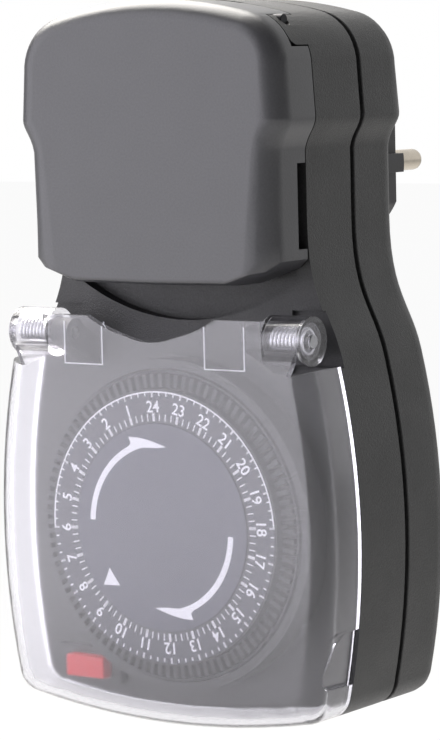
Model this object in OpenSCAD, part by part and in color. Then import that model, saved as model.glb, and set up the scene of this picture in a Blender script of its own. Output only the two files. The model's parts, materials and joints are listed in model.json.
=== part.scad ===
// Plug in timer switch: a socket under a sprung lid, a 24 hour dial under a clear
// cover, and an earthed plug on the back.
// X runs to the right, Y from front to back and Z up. The origin is midway between
// the two plug pins, on the end face of the plug body. Places in depth are given
// as the distance in front of that face, so they grow towards the front.

/* [Case outline] */
// Height of the top of the case above the plug axis
case_top = 36.8; // [36:0.1:38.5]
// Distance of the foot of the case below the plug axis
case_foot = 117; // [116:0.5:124]
// Radius of the crown along the top
crown_r = 102; // [90:1:130]
// Radius of the two shoulders
shoulder_r = 12; // [10:0.5:14]
// Width across the shoulders
head_w = 68; // [67:0.1:71]
// Width at the foot of the head, just above the step
step_w = 69.4; // [68.4:0.1:72]
// Height of the step above the plug axis
step_z = 12; // [10:0.5:13.5]
// Height of the top of the neck above the plug axis
neck_top = 5; // [3:0.5:7]
// Width of the neck
neck_w = 63.8; // [62.5:0.1:66]
// Distance of the foot of the straight neck below the plug axis
neck_foot = 10; // [8:0.5:13]
// Distance of the foot of the flare below the plug axis
flare_foot = 38.5; // [37:0.5:41]
// Width at the widest place, across the dial
belly_w = 87.8; // [87:0.1:92]
// Distance of the widest place below the plug axis
belly_z = 76; // [73:0.5:80]
// Radius of the long curved sides
belly_r = 158; // [145:1:175]
// Radius of the curve along the foot
foot_r = 187; // [170:1:210]
// Radius of the two lower corners
corner_r = 6; // [5:0.5:8]

/* [Case shells] */
// Depth of the plug body behind the case
plug_depth = 24.5; // [22:0.5:27]
// Depth of the rear shell
rear_depth = 16.3; // [16:0.1:19]
// Width of the seam between the shells
seam_w = 1.6; // [1.2:0.1:2]
// Depth of the front shell
front_depth = 16.6; // [16.4:0.1:19]
// Depth of the lid and of the clear cover in front of the case
lid_depth = 13; // [12.6:0.1:14]
// Wall of the shells
wall = 2.2; // [1.8:0.1:2.5]
// Depth of the rounding along the rear edge
rear_round = 5; // [3:0.5:6]
// How far the rear edge draws in
rear_inset = 3.4; // [2:0.2:4]
// How far the seal in the seam lies back from the surface
seal_inset = 1; // [0.6:0.1:1.2]
// Radius of the case screws
case_screw_r = 1.5; // [1.3:0.1:1.6]
// Radius of the heads of the case screws
case_head_r = 2.6; // [2.4:0.1:2.8]
// Length of the case screws under the head
case_screw_len = 22; // [20:0.5:24]
// Radius of the screw bosses
boss_r = 3.5; // [3.2:0.1:3.8]

/* [Plug] */
// Distance between the two pins
pin_pitch = 19; // [18.8:0.1:19.2]
// Radius of a pin
pin_r = 2.4; // [2.3:0.05:2.5]
// Length of a pin in front of its face
pin_len = 19; // [18:0.5:20]
// Radius of the plug body
plug_r = 18.5; // [18:0.1:19]
// Wall of the plug body
plug_wall = 2.5; // [2.2:0.1:2.8]
// Distance of the two side flats from the axis
plug_flat = 16.3; // [16.1:0.1:16.8]
// Height of the side flats
plug_flat_h = 17.5; // [16:0.5:18]
// Width of the rib along each side flat
plug_rib_w = 4.2; // [3.6:0.1:4.6]
// Width of the earth clips
clip_w = 5; // [4.4:0.1:5.4]
// Thickness of the metal strips
strip_t = 0.8; // [0.6:0.1:1]

/* [Socket] */
// Radius of the socket recess
cup_r = 19.75; // [19.6:0.05:20]
// Wall of the socket cup
cup_wall = 2.75; // [2.4:0.05:3]
// Depth of the socket recess
cup_depth = 17.5; // [17:0.1:18]
// Thickness of the floor of the socket cup
cup_floor = 3; // [2.6:0.1:3.4]
// Radius of the two contact sleeves outside
sleeve_r = 3.6; // [3.3:0.1:3.9]
// Thickness of the shutter
shutter_t = 1.3; // [1:0.1:1.5]
// Radius of the shutter
shutter_r = 14; // [13:0.1:15]
// Angle that the shutter turns through
shutter_turn = 36; // [34:1:38]

/* [Lid] */
// Wall of the lid
lid_wall = 1.9; // [1.7:0.1:2]
// Depth of the rounding round the face of the lid
lid_round = 4.5; // [4:0.1:5]
// How far the rounding draws in along the top
lid_draw_top = 3.6; // [3:0.1:4]
// How far the rounding draws in beside the head
lid_draw_side = 4.5; // [4:0.1:5]
// How far the rounding draws in at the foot of the neck
lid_draw_neck = 7; // [6:0.1:7.5]
// Distance of the lower end of the lid's sides below the plug axis
lid_side_foot = 17.5; // [16.5:0.5:18.5]
// Half width of the lid at its lower corners
lid_heel_x = 30.2; // [29:0.1:31]
// Distance of the lower corners below the plug axis
lid_heel_z = 19.3; // [19:0.1:19.8]
// Half width of the flat part of the lid's foot
lid_flat_x = 20.6; // [18:0.2:22]
// Height of the lid hinge above the plug axis
lid_hinge_z = 31.8; // [31.4:0.1:32]
// Distance of the lid hinge in front of the parting plane
lid_hinge_f = 3; // [2.8:0.1:3.2]
// Radius of the hinge barrel of the lid
lid_barrel_r = 5.7; // [5.5:0.1:5.8]
// Half width of the hinge barrel of the lid
lid_barrel_x = 26.9; // [26.5:0.1:27.2]
// Radius of the lid hinge pin
lid_pin_r = 1.2; // [1:0.1:1.3]
// Height of the finger notch in the right side of the lid
notch_h = 17.8; // [16:0.2:19]
// Height of the top of the finger notch above the plug axis
notch_top = 2.4; // [1:0.2:3]
// Depth of the finger notch
notch_d = 4.6; // [3.5:0.1:5]

/* [Clear cover] */
// Wall of the clear cover
cover_wall = 1.8; // [1.6:0.1:2]
// Radius of the rounding round the face of the cover
cover_round = 5.2; // [4.6:0.1:5.6]
// Distance of the top edge of the cover below the plug axis
cover_top = 29.6; // [29.4:0.1:30]
// Depth of the dip in the middle of the top edge
cover_dip = 4.7; // [4:0.1:5]
// Half width of the dip
cover_dip_x = 16.8; // [15:0.2:18]
// Distance of the cover hinge below the plug axis
barrel_z = 33.8; // [33.7:0.1:34.2]
// Radius of the two hinge barrels
barrel_r = 5.2; // [5:0.1:5.3]
// Inside radius of the hinge barrels
barrel_bore_r = 3.9; // [3.7:0.1:4]
// Distance of the inner end of a barrel from the middle
barrel_x0 = 28; // [27.9:0.1:28.4]
// Distance of the outer end of a barrel from the middle
barrel_x1 = 38; // [37.4:0.1:38.2]
// Radius of the cover hinge pins
cover_pin_r = 1.45; // [1.3:0.05:1.5]
// Thickness of the hinge ears on the case
ear_w = 4.6; // [4:0.1:4.8]
// Distance of the top of the thumb notch below the plug axis
thumb_top = 94; // [92:0.5:95]
// Height of the thumb notch
thumb_h = 12; // [10:0.5:13]
// Depth of the thumb notch in the wall
thumb_d = 1; // [0.6:0.1:1.1]

/* [Dial] */
// Distance of the dial's centre below the plug axis
dial_z = 74.5; // [74:0.1:75]
// Radius of the centre disc
disc_r = 22.3; // [21:0.1:22.8]
// Outside radius of the number ring
ring_r = 29.2; // [28.6:0.1:29.3]
// Distance of the number ring in front of the parting plane
ring_f = 9.5; // [9:0.1:10]
// Outside radius of the drum that carries the number ring
drum_r = 29.4; // [29.2:0.1:29.6]
// Inside radius of the rim round the tappets
rim_r = 32.95; // [32.8:0.05:33.1]
// Outside radius of the dial wheel
wheel_r = 33.35; // [33.2:0.05:33.5]
// Number of tappets, one for each quarter of an hour
tappet_n = 96; // [48, 96]
// Thickness of a tappet along the rim
tappet_w = 1; // [0.8:0.05:1.1]
// Length of a tappet
tappet_len = 7.8; // [7.4:0.1:8]
// How far a tappet moves when it is pushed in
tappet_travel = 3.5; // [3:0.1:3.7]
// Number of tappets that are pushed in together
tappet_set_n = 16; // [8:1:24]
// Radius of the arbor that the dial turns on
arbor_r = 2.5; // [2.2:0.1:2.8]
// Inside radius of the collar round the dial
collar_r = 33.7; // [33.65:0.05:33.9]
// Wall of the collar round the dial
collar_wall = 1.9; // [1.6:0.1:2]
// Height of the collar above the parting plane
collar_h = 6.4; // [6:0.1:6.8]
// Height of the override slider's knob
slider_h = 4.7; // [4.2:0.1:5]
// Width of the override slider's knob
slider_w = 10.3; // [9:0.1:11]
// Travel of the override slider
slider_travel = 3.5; // [3:0.1:4]

/* [Movement] */
// Number of teeth on the dial gear
dial_teeth = 48; // [48]
// Number of teeth on the small idler pinion
idler_teeth = 10; // [10]
// Number of teeth on the idler wheel
wheel_teeth = 45; // [45]
// Number of teeth on the motor pinion
motor_teeth = 10; // [10]
// Size of the dial gear's teeth, as pitch diameter over tooth count
dial_module = 0.8; // [0.76:0.01:0.82]
// Size of the idler wheel's teeth, as pitch diameter over tooth count
idler_module = 0.55; // [0.52:0.01:0.57]
// Radius of the motor
motor_r = 17; // [15:0.5:18]
// Depth of the motor
motor_depth = 13.5; // [12:0.1:14]
// Thickness of the movement plate
plate_t = 1.5; // [1.2:0.1:1.6]
// Half width of the movement plate
plate_x = 34; // [33.5:0.1:34.5]

/* [Fits] */
// Radial clearance of a running fit
run = 0.05; // [0.02:0.01:0.09]
// Radial clearance of a press fit or of a screw in its thread
snug = 0.02; // [0.01:0.005:0.03]
// Gap between surfaces that move past each other
gap = 0.3; // [0.25:0.05:0.35]

/* [Hidden] */
$fn = 64;

// Depths in front of the plug's end face
rear_f = plug_depth;
seam_back_f = rear_f + rear_depth;
seam_front_f = seam_back_f + seam_w;
part_f = seam_front_f + front_depth;
face_f = part_f + lid_depth;
seam_mid_f = (seam_back_f + seam_front_f) / 2;
deck_f = part_f - wall;

/* Outlines. A half outline runs from the top middle down the right side to the
   foot, and its mirror image closes it. */
function arc(centre, r, from, to, n) =
    [for (i = [0:n - 1]) let (a = from + (to - from) * i / n) centre + r * [cos(a), sin(a)]];
function bezier(p, q, r, s, n) =
    [for (i = [0:n - 1]) let (t = i / n, u = 1 - t)
        u * u * u * p + 3 * u * u * t * q + 3 * u * t * t * r + t * t * t * s];
function angle_of(v) = atan2(v.y, v.x);
function mirrored(half) =
    concat(half, [for (i = [len(half) - 2:-1:1]) [-half[i].x, half[i].y]]);
// The lower right meeting point of two circles
function meet(a, ra, b, rb) =
    let (d = norm(b - a), k = (ra * ra - rb * rb + d * d) / (2 * d), u = (b - a) / d)
    a + k * u + sqrt(ra * ra - k * k) * [u.y, -u.x];
// Moves each point of a closed clockwise outline inwards by its own distance
function drawn_in(pts, d) =
    [for (i = [0:len(pts) - 1])
        let (n = len(pts), t = pts[(i + 1) % n] - pts[(i + n - 1) % n], u = t / norm(t))
        pts[i] + d[i] * [u.y, -u.x]];
function inset(pts, d) = drawn_in(pts, [for (p = pts) d]);

crown_c = [0, case_top - crown_r];
shoulder_x = head_w / 2 - shoulder_r;
shoulder_c = [shoulder_x, crown_c.y + sqrt(pow(crown_r - shoulder_r, 2) - pow(shoulder_x, 2))];
shoulder_a = angle_of(shoulder_c - crown_c);
belly_c = [belly_w / 2 - belly_r, -belly_z];
belly_a = asin((belly_z - flare_foot) / belly_r);
flare_end = belly_c + belly_r * [cos(belly_a), sin(belly_a)];
flare_pull = 10;
neck_pull = 17;
foot_c = [0, foot_r - case_foot];
corner_c = meet(belly_c, belly_r - corner_r, foot_c, foot_r - corner_r);
corner_a = angle_of(corner_c - belly_c);
foot_a = angle_of(corner_c - foot_c);
step_round = 2.5;

case_half = concat(
    arc(crown_c, crown_r, 90, shoulder_a, 8),
    arc(shoulder_c, shoulder_r, shoulder_a, 0, 10),
    [[head_w / 2, shoulder_c.y]],
    bezier([step_w / 2, step_z], [step_w / 2, step_z - step_round],
        [neck_w / 2 + step_round / 4, neck_top + step_round * 1.3],
        [neck_w / 2, neck_top], 7),
    bezier([neck_w / 2, neck_top], [neck_w / 2, neck_top - 1],
        [neck_w / 2, 1 - neck_foot], [neck_w / 2, -neck_foot], 3),
    bezier([neck_w / 2, -neck_foot], [neck_w / 2, -neck_foot - neck_pull],
        flare_end + flare_pull * [-tan(belly_a), 1], flare_end, 12),
    arc(belly_c, belly_r, belly_a, corner_a, 16),
    arc(corner_c, corner_r, corner_a, foot_a, 7),
    arc(foot_c, foot_r, foot_a, -90, 8),
    [[0, -case_foot]]
);
case_outline = mirrored(case_half);
// The point of the right side of the case at height z
function half_at(z) = [for (i = [0:len(case_half) - 2])
    let (p = case_half[i], q = case_half[i + 1])
    if (p.y > z && q.y <= z) p + (q - p) * (p.y - z) / (p.y - q.y)][0];

/* Helpers that turn flat outlines into solids. forward() draws in X and Z and
   runs towards the front, across() draws in depth and Z and runs along X, and
   turned() spins an outline of radius and depth. */
module forward(f0, f1) {
    translate([0, -f0, 0]) rotate([90, 0, 0]) linear_extrude(f1 - f0) children();
}
module across(x0, x1) {
    translate([x1, 0, 0]) rotate([90, 0, -90]) linear_extrude(x1 - x0) children();
}
module turned(x = 0, z = 0) {
    translate([x, 0, z]) rotate([90, 0, 0]) rotate_extrude() children();
}
module post(x, z, r, f0, f1) {
    translate([x, -f0, z]) rotate([90, 0, 0]) cylinder(r = r, h = f1 - f0);
}
module axle(f, z, r, x0, x1) {
    translate([x0, -f, z]) rotate([0, 90, 0]) cylinder(r = r, h = x1 - x0);
}
module block(x0, x1, f0, f1, z0, z1) {
    translate([x0, -f1, z0]) cube([x1 - x0, f1 - f0, z1 - z0]);
}
module both_sides() {
    children();
    mirror([1, 0, 0]) children();
}
module above_and_below() {
    children();
    mirror([0, 0, 1]) children();
}
// Skins a stack of outlines, given from back to front as [depth, points]
module loft(rings) {
    n = len(rings[0][1]);
    m = len(rings);
    points = [for (r = rings) for (p = r[1]) [p.x, -r[0], p.y]];
    sides = [for (k = [0:m - 2]) for (i = [0:n - 1])
        let (a = k * n + i, b = k * n + (i + 1) % n) [a, b, b + n, a + n]];
    ends = [[for (i = [n - 1:-1:0]) i], [for (i = [0:n - 1]) (m - 1) * n + i]];
    polyhedron(points, concat(sides, ends));
}
// Skins a hollow band of rings, given as [depth, points], whose last ring joins the
// first. Where the rings are open runs, it closes both ends.
module band(rings, open = false) {
    n = len(rings[0][1]);
    m = len(rings);
    points = [for (r = rings) for (p = r[1]) [p.x, -r[0], p.y]];
    sides = [for (k = [0:m - 1]) for (i = [0:n - (open ? 2 : 1)])
        let (a = k * n, b = (k + 1) % m * n, j = (i + 1) % n) [a + i, a + j, b + j, b + i]];
    ends = [[for (k = [0:m - 1]) k * n], [for (k = [m - 1:-1:0]) k * n + n - 1]];
    polyhedron(points, concat(sides, open ? ends : []));
}
// Rings that round an edge from the outline outer to the outline inner
function rounding(outer, inner, f, r, n) =
    [for (k = [0:n]) let (a = 90 * k / n)
        [f - r * (1 - sin(a)), outer + (1 - cos(a)) * (inner - outer)]];
// Points along a coil on an axis parallel to X
module coil(f, z, mean_r, wire_r, x0, pitch, turns) {
    per_turn = 16;
    sides = 8;
    n = floor(turns * per_turn);
    rings = [for (i = [0:n]) let (a = 360 * i / per_turn)
        [for (j = [0:sides - 1]) let (b = 360 * j / sides, r = mean_r + wire_r * cos(b))
            [x0 + pitch * i / per_turn + wire_r * sin(b), -f + r * cos(a), z + r * sin(a)]]];
    points = [for (r = rings) for (p = r) p];
    skin = [for (i = [0:n - 1]) for (j = [0:sides - 1])
        let (a = i * sides + j, b = i * sides + (j + 1) % sides) [a, a + sides, b + sides, b]];
    polyhedron(points, concat(skin, [[for (j = [0:sides - 1]) j]],
        [[for (j = [sides - 1:-1:0]) n * sides + j]]));
}

/* Places that the pieces share */
contact_z = -92;
foot_screw_x = belly_w / 2 - 9.9;
foot_screw_z = 16 - case_foot;
screw_places = [[26, 23], [-26, 23], [foot_screw_x, foot_screw_z], [-foot_screw_x, foot_screw_z]];
head_f = rear_f + wall + 0.2;
screw_end_f = head_f + case_screw_len;
cup_out_r = cup_r + cup_wall;
cup_floor_f = part_f - cup_depth;
cup_back_f = cup_floor_f - cup_floor;
pin_x = pin_pitch / 2;
// A pin is thinner where it stands in the plug body
shank_r = pin_r - 0.3;
shank_gap = 0.2;
pin_collar_r = pin_r + 0.8;
pin_hole_r = pin_r + 0.5;

lid_f = part_f + gap;
lid_hinge_y = part_f + lid_hinge_f;
trough_r = lid_barrel_r + gap;
// The hollow behind the middle of the lid's top edge lets the lid swing up
relief_r = 7.3;
relief_x = 15;
ear_x = lid_barrel_x + gap;
lid_ear_foot = lid_hinge_z - 5.2;
lid_ear_f = lid_hinge_y + 3;
gasket_w = 1;
gasket_r = cup_r + 0.15;
gasket_f = part_f + 2.6;
lid_foot = gasket_r + gasket_w + 0.1 + lid_wall;

cover_hinge_f = face_f - barrel_r + 0.06;
cover_ear_r = barrel_r - cover_wall - gap;
cover_ear_x1 = barrel_x0 - gap;
cover_ear_x0 = cover_ear_x1 - ear_w;

// Stack of the movement, from its plate to the dial
plate_f = part_f - 9.5;
plate_front_f = plate_f + plate_t;
plate_top_z = -37;
plate_foot_z = -111;
idler_f = plate_front_f + 1.2;
idler_t = 1.5;
gear_f = idler_f + idler_t + 1.2;
gear_t = 1.6;
wheel_f = part_f - 0.5;
drum_f = part_f + ring_f - 0.5;
drum_wall = 1.6;
tappet_f = drum_f - 1.5 - tappet_len;
idler_z = dial_module * (dial_teeth + idler_teeth) / 2 - dial_z;
motor_z = idler_z - idler_module * (wheel_teeth + motor_teeth) / 2;
post_places = [[30, -42], [-30, -42], [16, -107.5], [-16, -107.5]];
post_r = 2.6;
post_screw_r = 1.1;
lever_w = 0.9;
lever_boss_r = 2.2;
lever_pin_r = 1.2;
lever_x = wheel_r + gap + lever_w;
lever_z = -66;
// The lever's foot stands just outside the path of the tappets
foot_x = sqrt(pow(rim_r + 1.2, 2) - pow(contact_z + dial_z, 2)) + lever_w;
rivet_h = 0.5;
spring_strip_t = 0.6;
fixed_x = max(plate_x + gap, foot_x + 4.1);
lever_f = gear_f - 0.5;
lever_t = 2;

// Metal strips in the rear shell
clip_z = cup_r - 0.45 - strip_t;
strap_z = cup_out_r + 0.6;
strap_f = rear_f + wall + 3.5;
plug_bore_r = plug_flat - plug_wall;
plug_face = 3;
tail_f = 8;
sleeve_end_f = 21;
carrier_f = cup_back_f - 2.5;
carrier_t = 2.2;
switched_f = carrier_f - carrier_t - 0.1 - strip_t;

slider_x = -25.3;
slider_z = -107.5;
slider_f = part_f + 2.2;
slider_rim = 1.55;
stem_w = 5;
stem_h = 2;

/* Case */
module case_prism(f0, f1, d = 0) {
    forward(f0, f1) polygon(inset(case_outline, d));
}

// The rear edge draws in by d, and by less beside the step
function rear_drawn(d) = drawn_in(case_outline, [for (p = case_outline)
    let (near = max(0, 1 - abs(p.y - step_z + 1) / 8)) d * (1 - near / 4)]);
module rear_housing() {
    plate_inset = wall + rear_inset / 2;
    edge_f = rear_f + rear_round;
    back = [for (k = [4:-1:0]) let (a = 90 * k / 4)
        [edge_f - rear_round * sin(a), rear_drawn(rear_inset * (1 - cos(a)))]];
    inner = inset(case_outline, wall);
    color("#4A4A4A") difference() {
        union() {
            band(concat(back, [[seam_back_f, case_outline], [seam_back_f, inner], [edge_f, inner],
                [edge_f, rear_drawn(plate_inset)], [rear_f, rear_drawn(plate_inset)]]));
            forward(rear_f, rear_f + wall) polygon(rear_drawn((rear_inset + plate_inset) / 2));
            for (p = screw_places) post(p.x, p.y, boss_r, rear_f + 1, seam_mid_f);
        }
        post(0, 0, plug_r + snug, rear_f - 1, rear_f + wall + 1);
        for (p = screw_places) {
            post(p.x, p.y, case_head_r + run, rear_f - 1, head_f);
            post(p.x, p.y, case_screw_r + run, head_f - 1, seam_mid_f + 1);
        }
    }
}

// Side view of the ear that holds the lid hinge pin
module lid_ear_side() {
    ear_round = 2;
    polygon(concat(
        [[part_f - 1, case_top + 1], [part_f - 1, lid_ear_foot]],
        arc([lid_ear_f - ear_round, lid_ear_foot + ear_round], ear_round, -90, 0, 5),
        [[lid_ear_f, lid_ear_foot + ear_round], [lid_ear_f, case_top + 1]]));
}
// Side view of the ear that holds a cover hinge pin
module cover_ear_side() {
    r = cover_ear_r;
    translate([cover_hinge_f, -barrel_z]) circle(r);
    polygon([[deck_f, -barrel_z - 9], [deck_f, -barrel_z - 2.6], [cover_hinge_f, r - barrel_z],
        [cover_hinge_f + r * cos(50), -barrel_z - r * sin(50)]]);
}
// Outline of the hollow below the lid, where a lead leaves the socket
module scoop_shape(d) {
    scoop_r = 52.7;
    scoop_x = 29;
    scoop_foot = 31.1;
    intersection() {
        translate([0, scoop_r - scoop_foot]) circle(scoop_r + d);
        translate([-scoop_x - d, -scoop_foot - d]) square([2 * scoop_x + 2 * d, 20]);
    }
}

module front_housing() {
    scoop_d = 3;
    scoop_wall = 2;
    ring_w = 3.4;
    trough_wall = wall;
    recess_d = 1;
    color("#4A4A4A") difference() {
        union() {
            difference() {
                case_prism(seam_front_f, part_f);
                case_prism(seam_front_f - 1, deck_f, wall);
            }
            intersection() {
                union() {
                    across(-ear_x, ear_x) translate([lid_hinge_y, lid_hinge_z])
                        circle(trough_r + trough_wall);
                    forward(part_f - scoop_d - scoop_wall, deck_f + 0.5) scoop_shape(scoop_wall);
                }
                case_prism(seam_front_f, part_f, wall / 2);
            }
            intersection() {
                both_sides() across(ear_x, step_w / 2 + 1) lid_ear_side();
                case_prism(part_f - 1, lid_ear_f);
            }
            both_sides() across(cover_ear_x0, cover_ear_x1) cover_ear_side();
            post(0, 0, cup_out_r + ring_w, part_f - scoop_d - scoop_wall, deck_f + 0.5);
            post(0, -dial_z, collar_r + collar_wall, deck_f, part_f + collar_h);
            intersection() {
                block(slider_x - slider_w / 2 - slider_travel - 0.85, slider_x + slider_w / 2 + 2.35,
                    deck_f, slider_f, slider_z - slider_h / 2 - slider_rim,
                    slider_z + slider_h / 2 + slider_rim);
                case_prism(deck_f, slider_f, cover_wall + gap);
            }
            for (p = screw_places) post(p.x, p.y, boss_r, seam_mid_f, deck_f + 0.5);
            for (p = post_places) post(p.x, p.y, post_r, plate_front_f, deck_f + 0.5);
        }
        across(-ear_x, ear_x) translate([lid_hinge_y, lid_hinge_z]) circle(trough_r);
        across(-relief_x, relief_x) translate([lid_hinge_y, lid_hinge_z]) circle(relief_r);
        forward(part_f - scoop_d, part_f + 1) scoop_shape(0);
        both_sides() block(cover_ear_x1, belly_w / 2, part_f - recess_d, part_f + 1,
            -barrel_z - barrel_r - 1, -barrel_z + barrel_r + gap);
        post(0, 0, cup_out_r + snug, deck_f - 5, part_f + 1);
        post(0, -dial_z, collar_r, deck_f - 1, part_f + collar_h + 1);
        axle(lid_hinge_y, lid_hinge_z, lid_pin_r + snug, -head_w / 2, head_w / 2);
        both_sides() axle(cover_hinge_f, -barrel_z, cover_pin_r + snug,
            cover_ear_x0 - 1, cover_ear_x1 + 1);
        block(slider_x - stem_w / 2 - slider_travel - gap, slider_x + stem_w / 2 + gap,
            deck_f - 1, slider_f + 1, slider_z - stem_h / 2 - gap, slider_z + stem_h / 2 + gap);
        for (p = screw_places) post(p.x, p.y, case_screw_r + snug, seam_mid_f - 1, screw_end_f + 1);
        for (p = post_places) post(p.x, p.y, post_screw_r + snug, plate_f, deck_f - 1);
    }
}

module housing_seal() {
    color("#101010") difference() {
        case_prism(seam_back_f, seam_front_f, seal_inset);
        case_prism(seam_back_f - 1, seam_front_f + 1, wall);
    }
}

module housing_screws() {
    slot = 0.7;
    head_t = 2;
    color("silver") for (p = screw_places) difference() {
        union() {
            post(p.x, p.y, case_head_r, head_f - head_t, head_f);
            post(p.x, p.y, case_screw_r, head_f - 0.5, screw_end_f);
        }
        for (s = [[slot, 3], [3, slot]])
            block(p.x - s[0] / 2, p.x + s[0] / 2, head_f - head_t - 1, head_f - 1,
                p.y - s[1] / 2, p.y + s[1] / 2);
    }
}

/* Plug */
module plug_body() {
    flange_t = 2;
    flange_w = 2;
    clip_deep = 1.6;
    color("#3A3A3C") difference() {
        union() {
            difference() {
                post(0, 0, plug_r, 0, rear_f + wall + flange_t);
                both_sides() block(plug_flat, plug_r + 1, -1, rear_f, -plug_flat_h / 2, plug_flat_h / 2);
            }
            intersection() {
                both_sides() block(plug_flat - 1, plug_r, 0, rear_f, -plug_rib_w / 2, plug_rib_w / 2);
                post(0, 0, plug_r, 0, rear_f);
            }
            post(0, 0, plug_r + flange_w, rear_f + wall, rear_f + wall + flange_t);
        }
        post(0, 0, plug_bore_r, plug_face, rear_f + wall + flange_t + 1);
        both_sides() post(pin_x, 0, shank_r + snug, -1, plug_face + 1);
        above_and_below() {
            block(-clip_w / 2 - gap, clip_w / 2 + gap, -1, rear_f - 1, plug_r - clip_deep, plug_r + 1);
            block(-clip_w / 2 - gap, clip_w / 2 + gap, rear_f - 2.5, rear_f - 1, plug_bore_r - 1, plug_r);
        }
    }
}

module plug_pin(x) {
    tip = 1.6;
    collar_t = 2;
    collar_f = plug_face + collar_t;
    color("#B9B4AC") turned(x) polygon(concat(
        [[0, -pin_len]],
        arc([pin_r - tip, tip - pin_len], tip, -90, 0, 6),
        [[pin_r, tip - pin_len], [pin_r, -shank_gap], [shank_r, -shank_gap],
         [shank_r, plug_face], [pin_collar_r, plug_face], [pin_collar_r, collar_f],
         [shank_r, collar_f], [shank_r, tail_f], [0, tail_f]]));
}
module plug_pin_left() plug_pin(-pin_x);
module plug_pin_right() plug_pin(pin_x);

plug_clip_z = plug_r - 1.5;
plug_clip_f = rear_f - 1.5;
rear_leg_z = plug_bore_r - 0.8 - strip_t;
module plug_earth_clips() {
    color("#C8B27A") above_and_below() {
        block(-clip_w / 2, clip_w / 2, 1.5, plug_clip_f, plug_clip_z, plug_clip_z + strip_t);
        block(-clip_w / 2, clip_w / 2, plug_clip_f - strip_t, plug_clip_f,
            rear_leg_z, plug_clip_z + strip_t);
    }
}

/* Socket */
module socket_cup() {
    flange_w = 3;
    flange_t = 1.6;
    guide_x = plug_flat + gap;
    guide_h = plug_flat_h - 0.5;
    groove_h = plug_rib_w + 0.4;
    slot_w = 3.8;
    color("#333335") difference() {
        union() {
            difference() {
                union() {
                    post(0, 0, cup_out_r, cup_back_f, part_f);
                    post(0, 0, cup_out_r + flange_w, seal_f - flange_t, seal_f);
                }
                post(0, 0, cup_r, cup_floor_f, part_f + 1);
            }
            intersection() {
                both_sides() block(guide_x, cup_r + 1, cup_floor_f - 0.5, part_f - 1.5,
                    -guide_h / 2, guide_h / 2);
                post(0, 0, cup_r + 0.5, cup_back_f, part_f);
            }
        }
        both_sides() block(guide_x - 1, guide_x + 2, cup_floor_f, part_f, -groove_h / 2, groove_h / 2);
        both_sides() post(pin_x, 0, pin_hole_r, cup_back_f - 1, cup_floor_f + 1);
        above_and_below() block(-slot_w / 2, slot_w / 2, cup_floor_f + 1.5, cup_floor_f + 2.9,
            clip_z, cup_out_r + 1);
    }
}
seal_t = 0.5;
seal_f = part_f - 5 - seal_t;
module socket_seal() {
    color("#101010") difference() {
        post(0, 0, cup_out_r + 2.9, seal_f, seal_f + seal_t);
        post(0, 0, cup_out_r + run, seal_f - 1, seal_f + seal_t + 1);
    }
}
shutter_f = cup_back_f - gap - shutter_t;
stub_r = 2;
module shutter() {
    color("#D8D4CA") difference() {
        post(0, 0, shutter_r, shutter_f, shutter_f + shutter_t);
        post(0, 0, stub_r + run, shutter_f - 1, shutter_f + shutter_t + 1);
        rotate([0, shutter_turn, 0]) both_sides()
            post(pin_x, 0, pin_hole_r, shutter_f - 1, shutter_f + shutter_t + 1);
    }
}
module contact_carrier() {
    carrier_r = shutter_r + 5.5;
    color("#D8D4CA") difference() {
        post(0, 0, carrier_r, carrier_f - carrier_t, cup_back_f);
        post(0, 0, carrier_r - 2, carrier_f, cup_back_f + 1);
        both_sides() post(pin_x, 0, sleeve_r + snug, carrier_f - carrier_t - 1, carrier_f + 1);
    }
    color("#D8D4CA") post(0, 0, stub_r, carrier_f, cup_back_f - 0.1);
}
module socket_contact(x) {
    color("#C8B27A") difference() {
        union() {
            post(x, 0, sleeve_r, sleeve_end_f, carrier_f);
            post(x, 0, sleeve_r + 0.5, carrier_f, carrier_f + 0.6);
        }
        post(x, 0, pin_r + run, sleeve_end_f - 1, carrier_f + 1);
    }
}
module socket_contact_left() socket_contact(-pin_x);
module socket_contact_right() socket_contact(pin_x);
module socket_earth_clips() {
    w = 1.6;
    foot_f = cup_floor_f + 1.8;
    color("#C8B27A") above_and_below() {
        block(-w, w, foot_f, part_f - 2, clip_z, clip_z + strip_t);
        block(-w, w, foot_f, foot_f + strip_t, clip_z, strap_z);
    }
}
module earth_strap() {
    w = clip_w / 2;
    color("#C8B27A") {
        block(-w, w, strap_f, strap_f + strip_t, -strap_z - strip_t, strap_z + strip_t);
        above_and_below() {
            block(-w, w, strap_f, cup_floor_f + 5, strap_z, strap_z + strip_t);
            block(-w, w, plug_clip_f, strap_f + strip_t, rear_leg_z, rear_leg_z + strip_t);
        }
    }
}

/* Lid */
lid_edge = 1;
lid_flare = 0.2;
// How far the front of the lid lies inside its outline at height z
function lid_draw(z) =
    z > shoulder_c.y
        ? lid_draw_side + (lid_draw_top - lid_draw_side) * (z - shoulder_c.y) / (case_top - shoulder_c.y)
        : z > neck_top ? lid_draw_side
        : lid_draw_side + (lid_draw_neck - lid_draw_side) * (neck_top - z) / (neck_top + lid_side_foot);
lid_drawn = drawn_in(case_outline, [for (p = case_outline) lid_draw(max(p.y, -lid_side_foot))]);
lid_rows = [for (i = [0:len(case_half) - 1]) if (case_half[i].y > 0.5 - lid_side_foot) i];
lid_outer = mirrored(concat([for (i = lid_rows) case_half[i]], [
    [neck_w / 2 + lid_flare, -lid_side_foot], [lid_heel_x, -lid_heel_z],
    [lid_flat_x, 0.25 - lid_foot], [0, -lid_foot]]));
lid_front = mirrored(concat([for (i = lid_rows) lid_drawn[i]], [
    [neck_w / 2 + lid_flare - lid_draw_neck, -lid_side_foot],
    [lid_heel_x - lid_draw_neck + lid_edge, -lid_heel_z - lid_edge],
    [lid_flat_x - lid_edge, 0.25 + lid_edge - lid_foot], [0, lid_edge - lid_foot]]));

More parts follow.
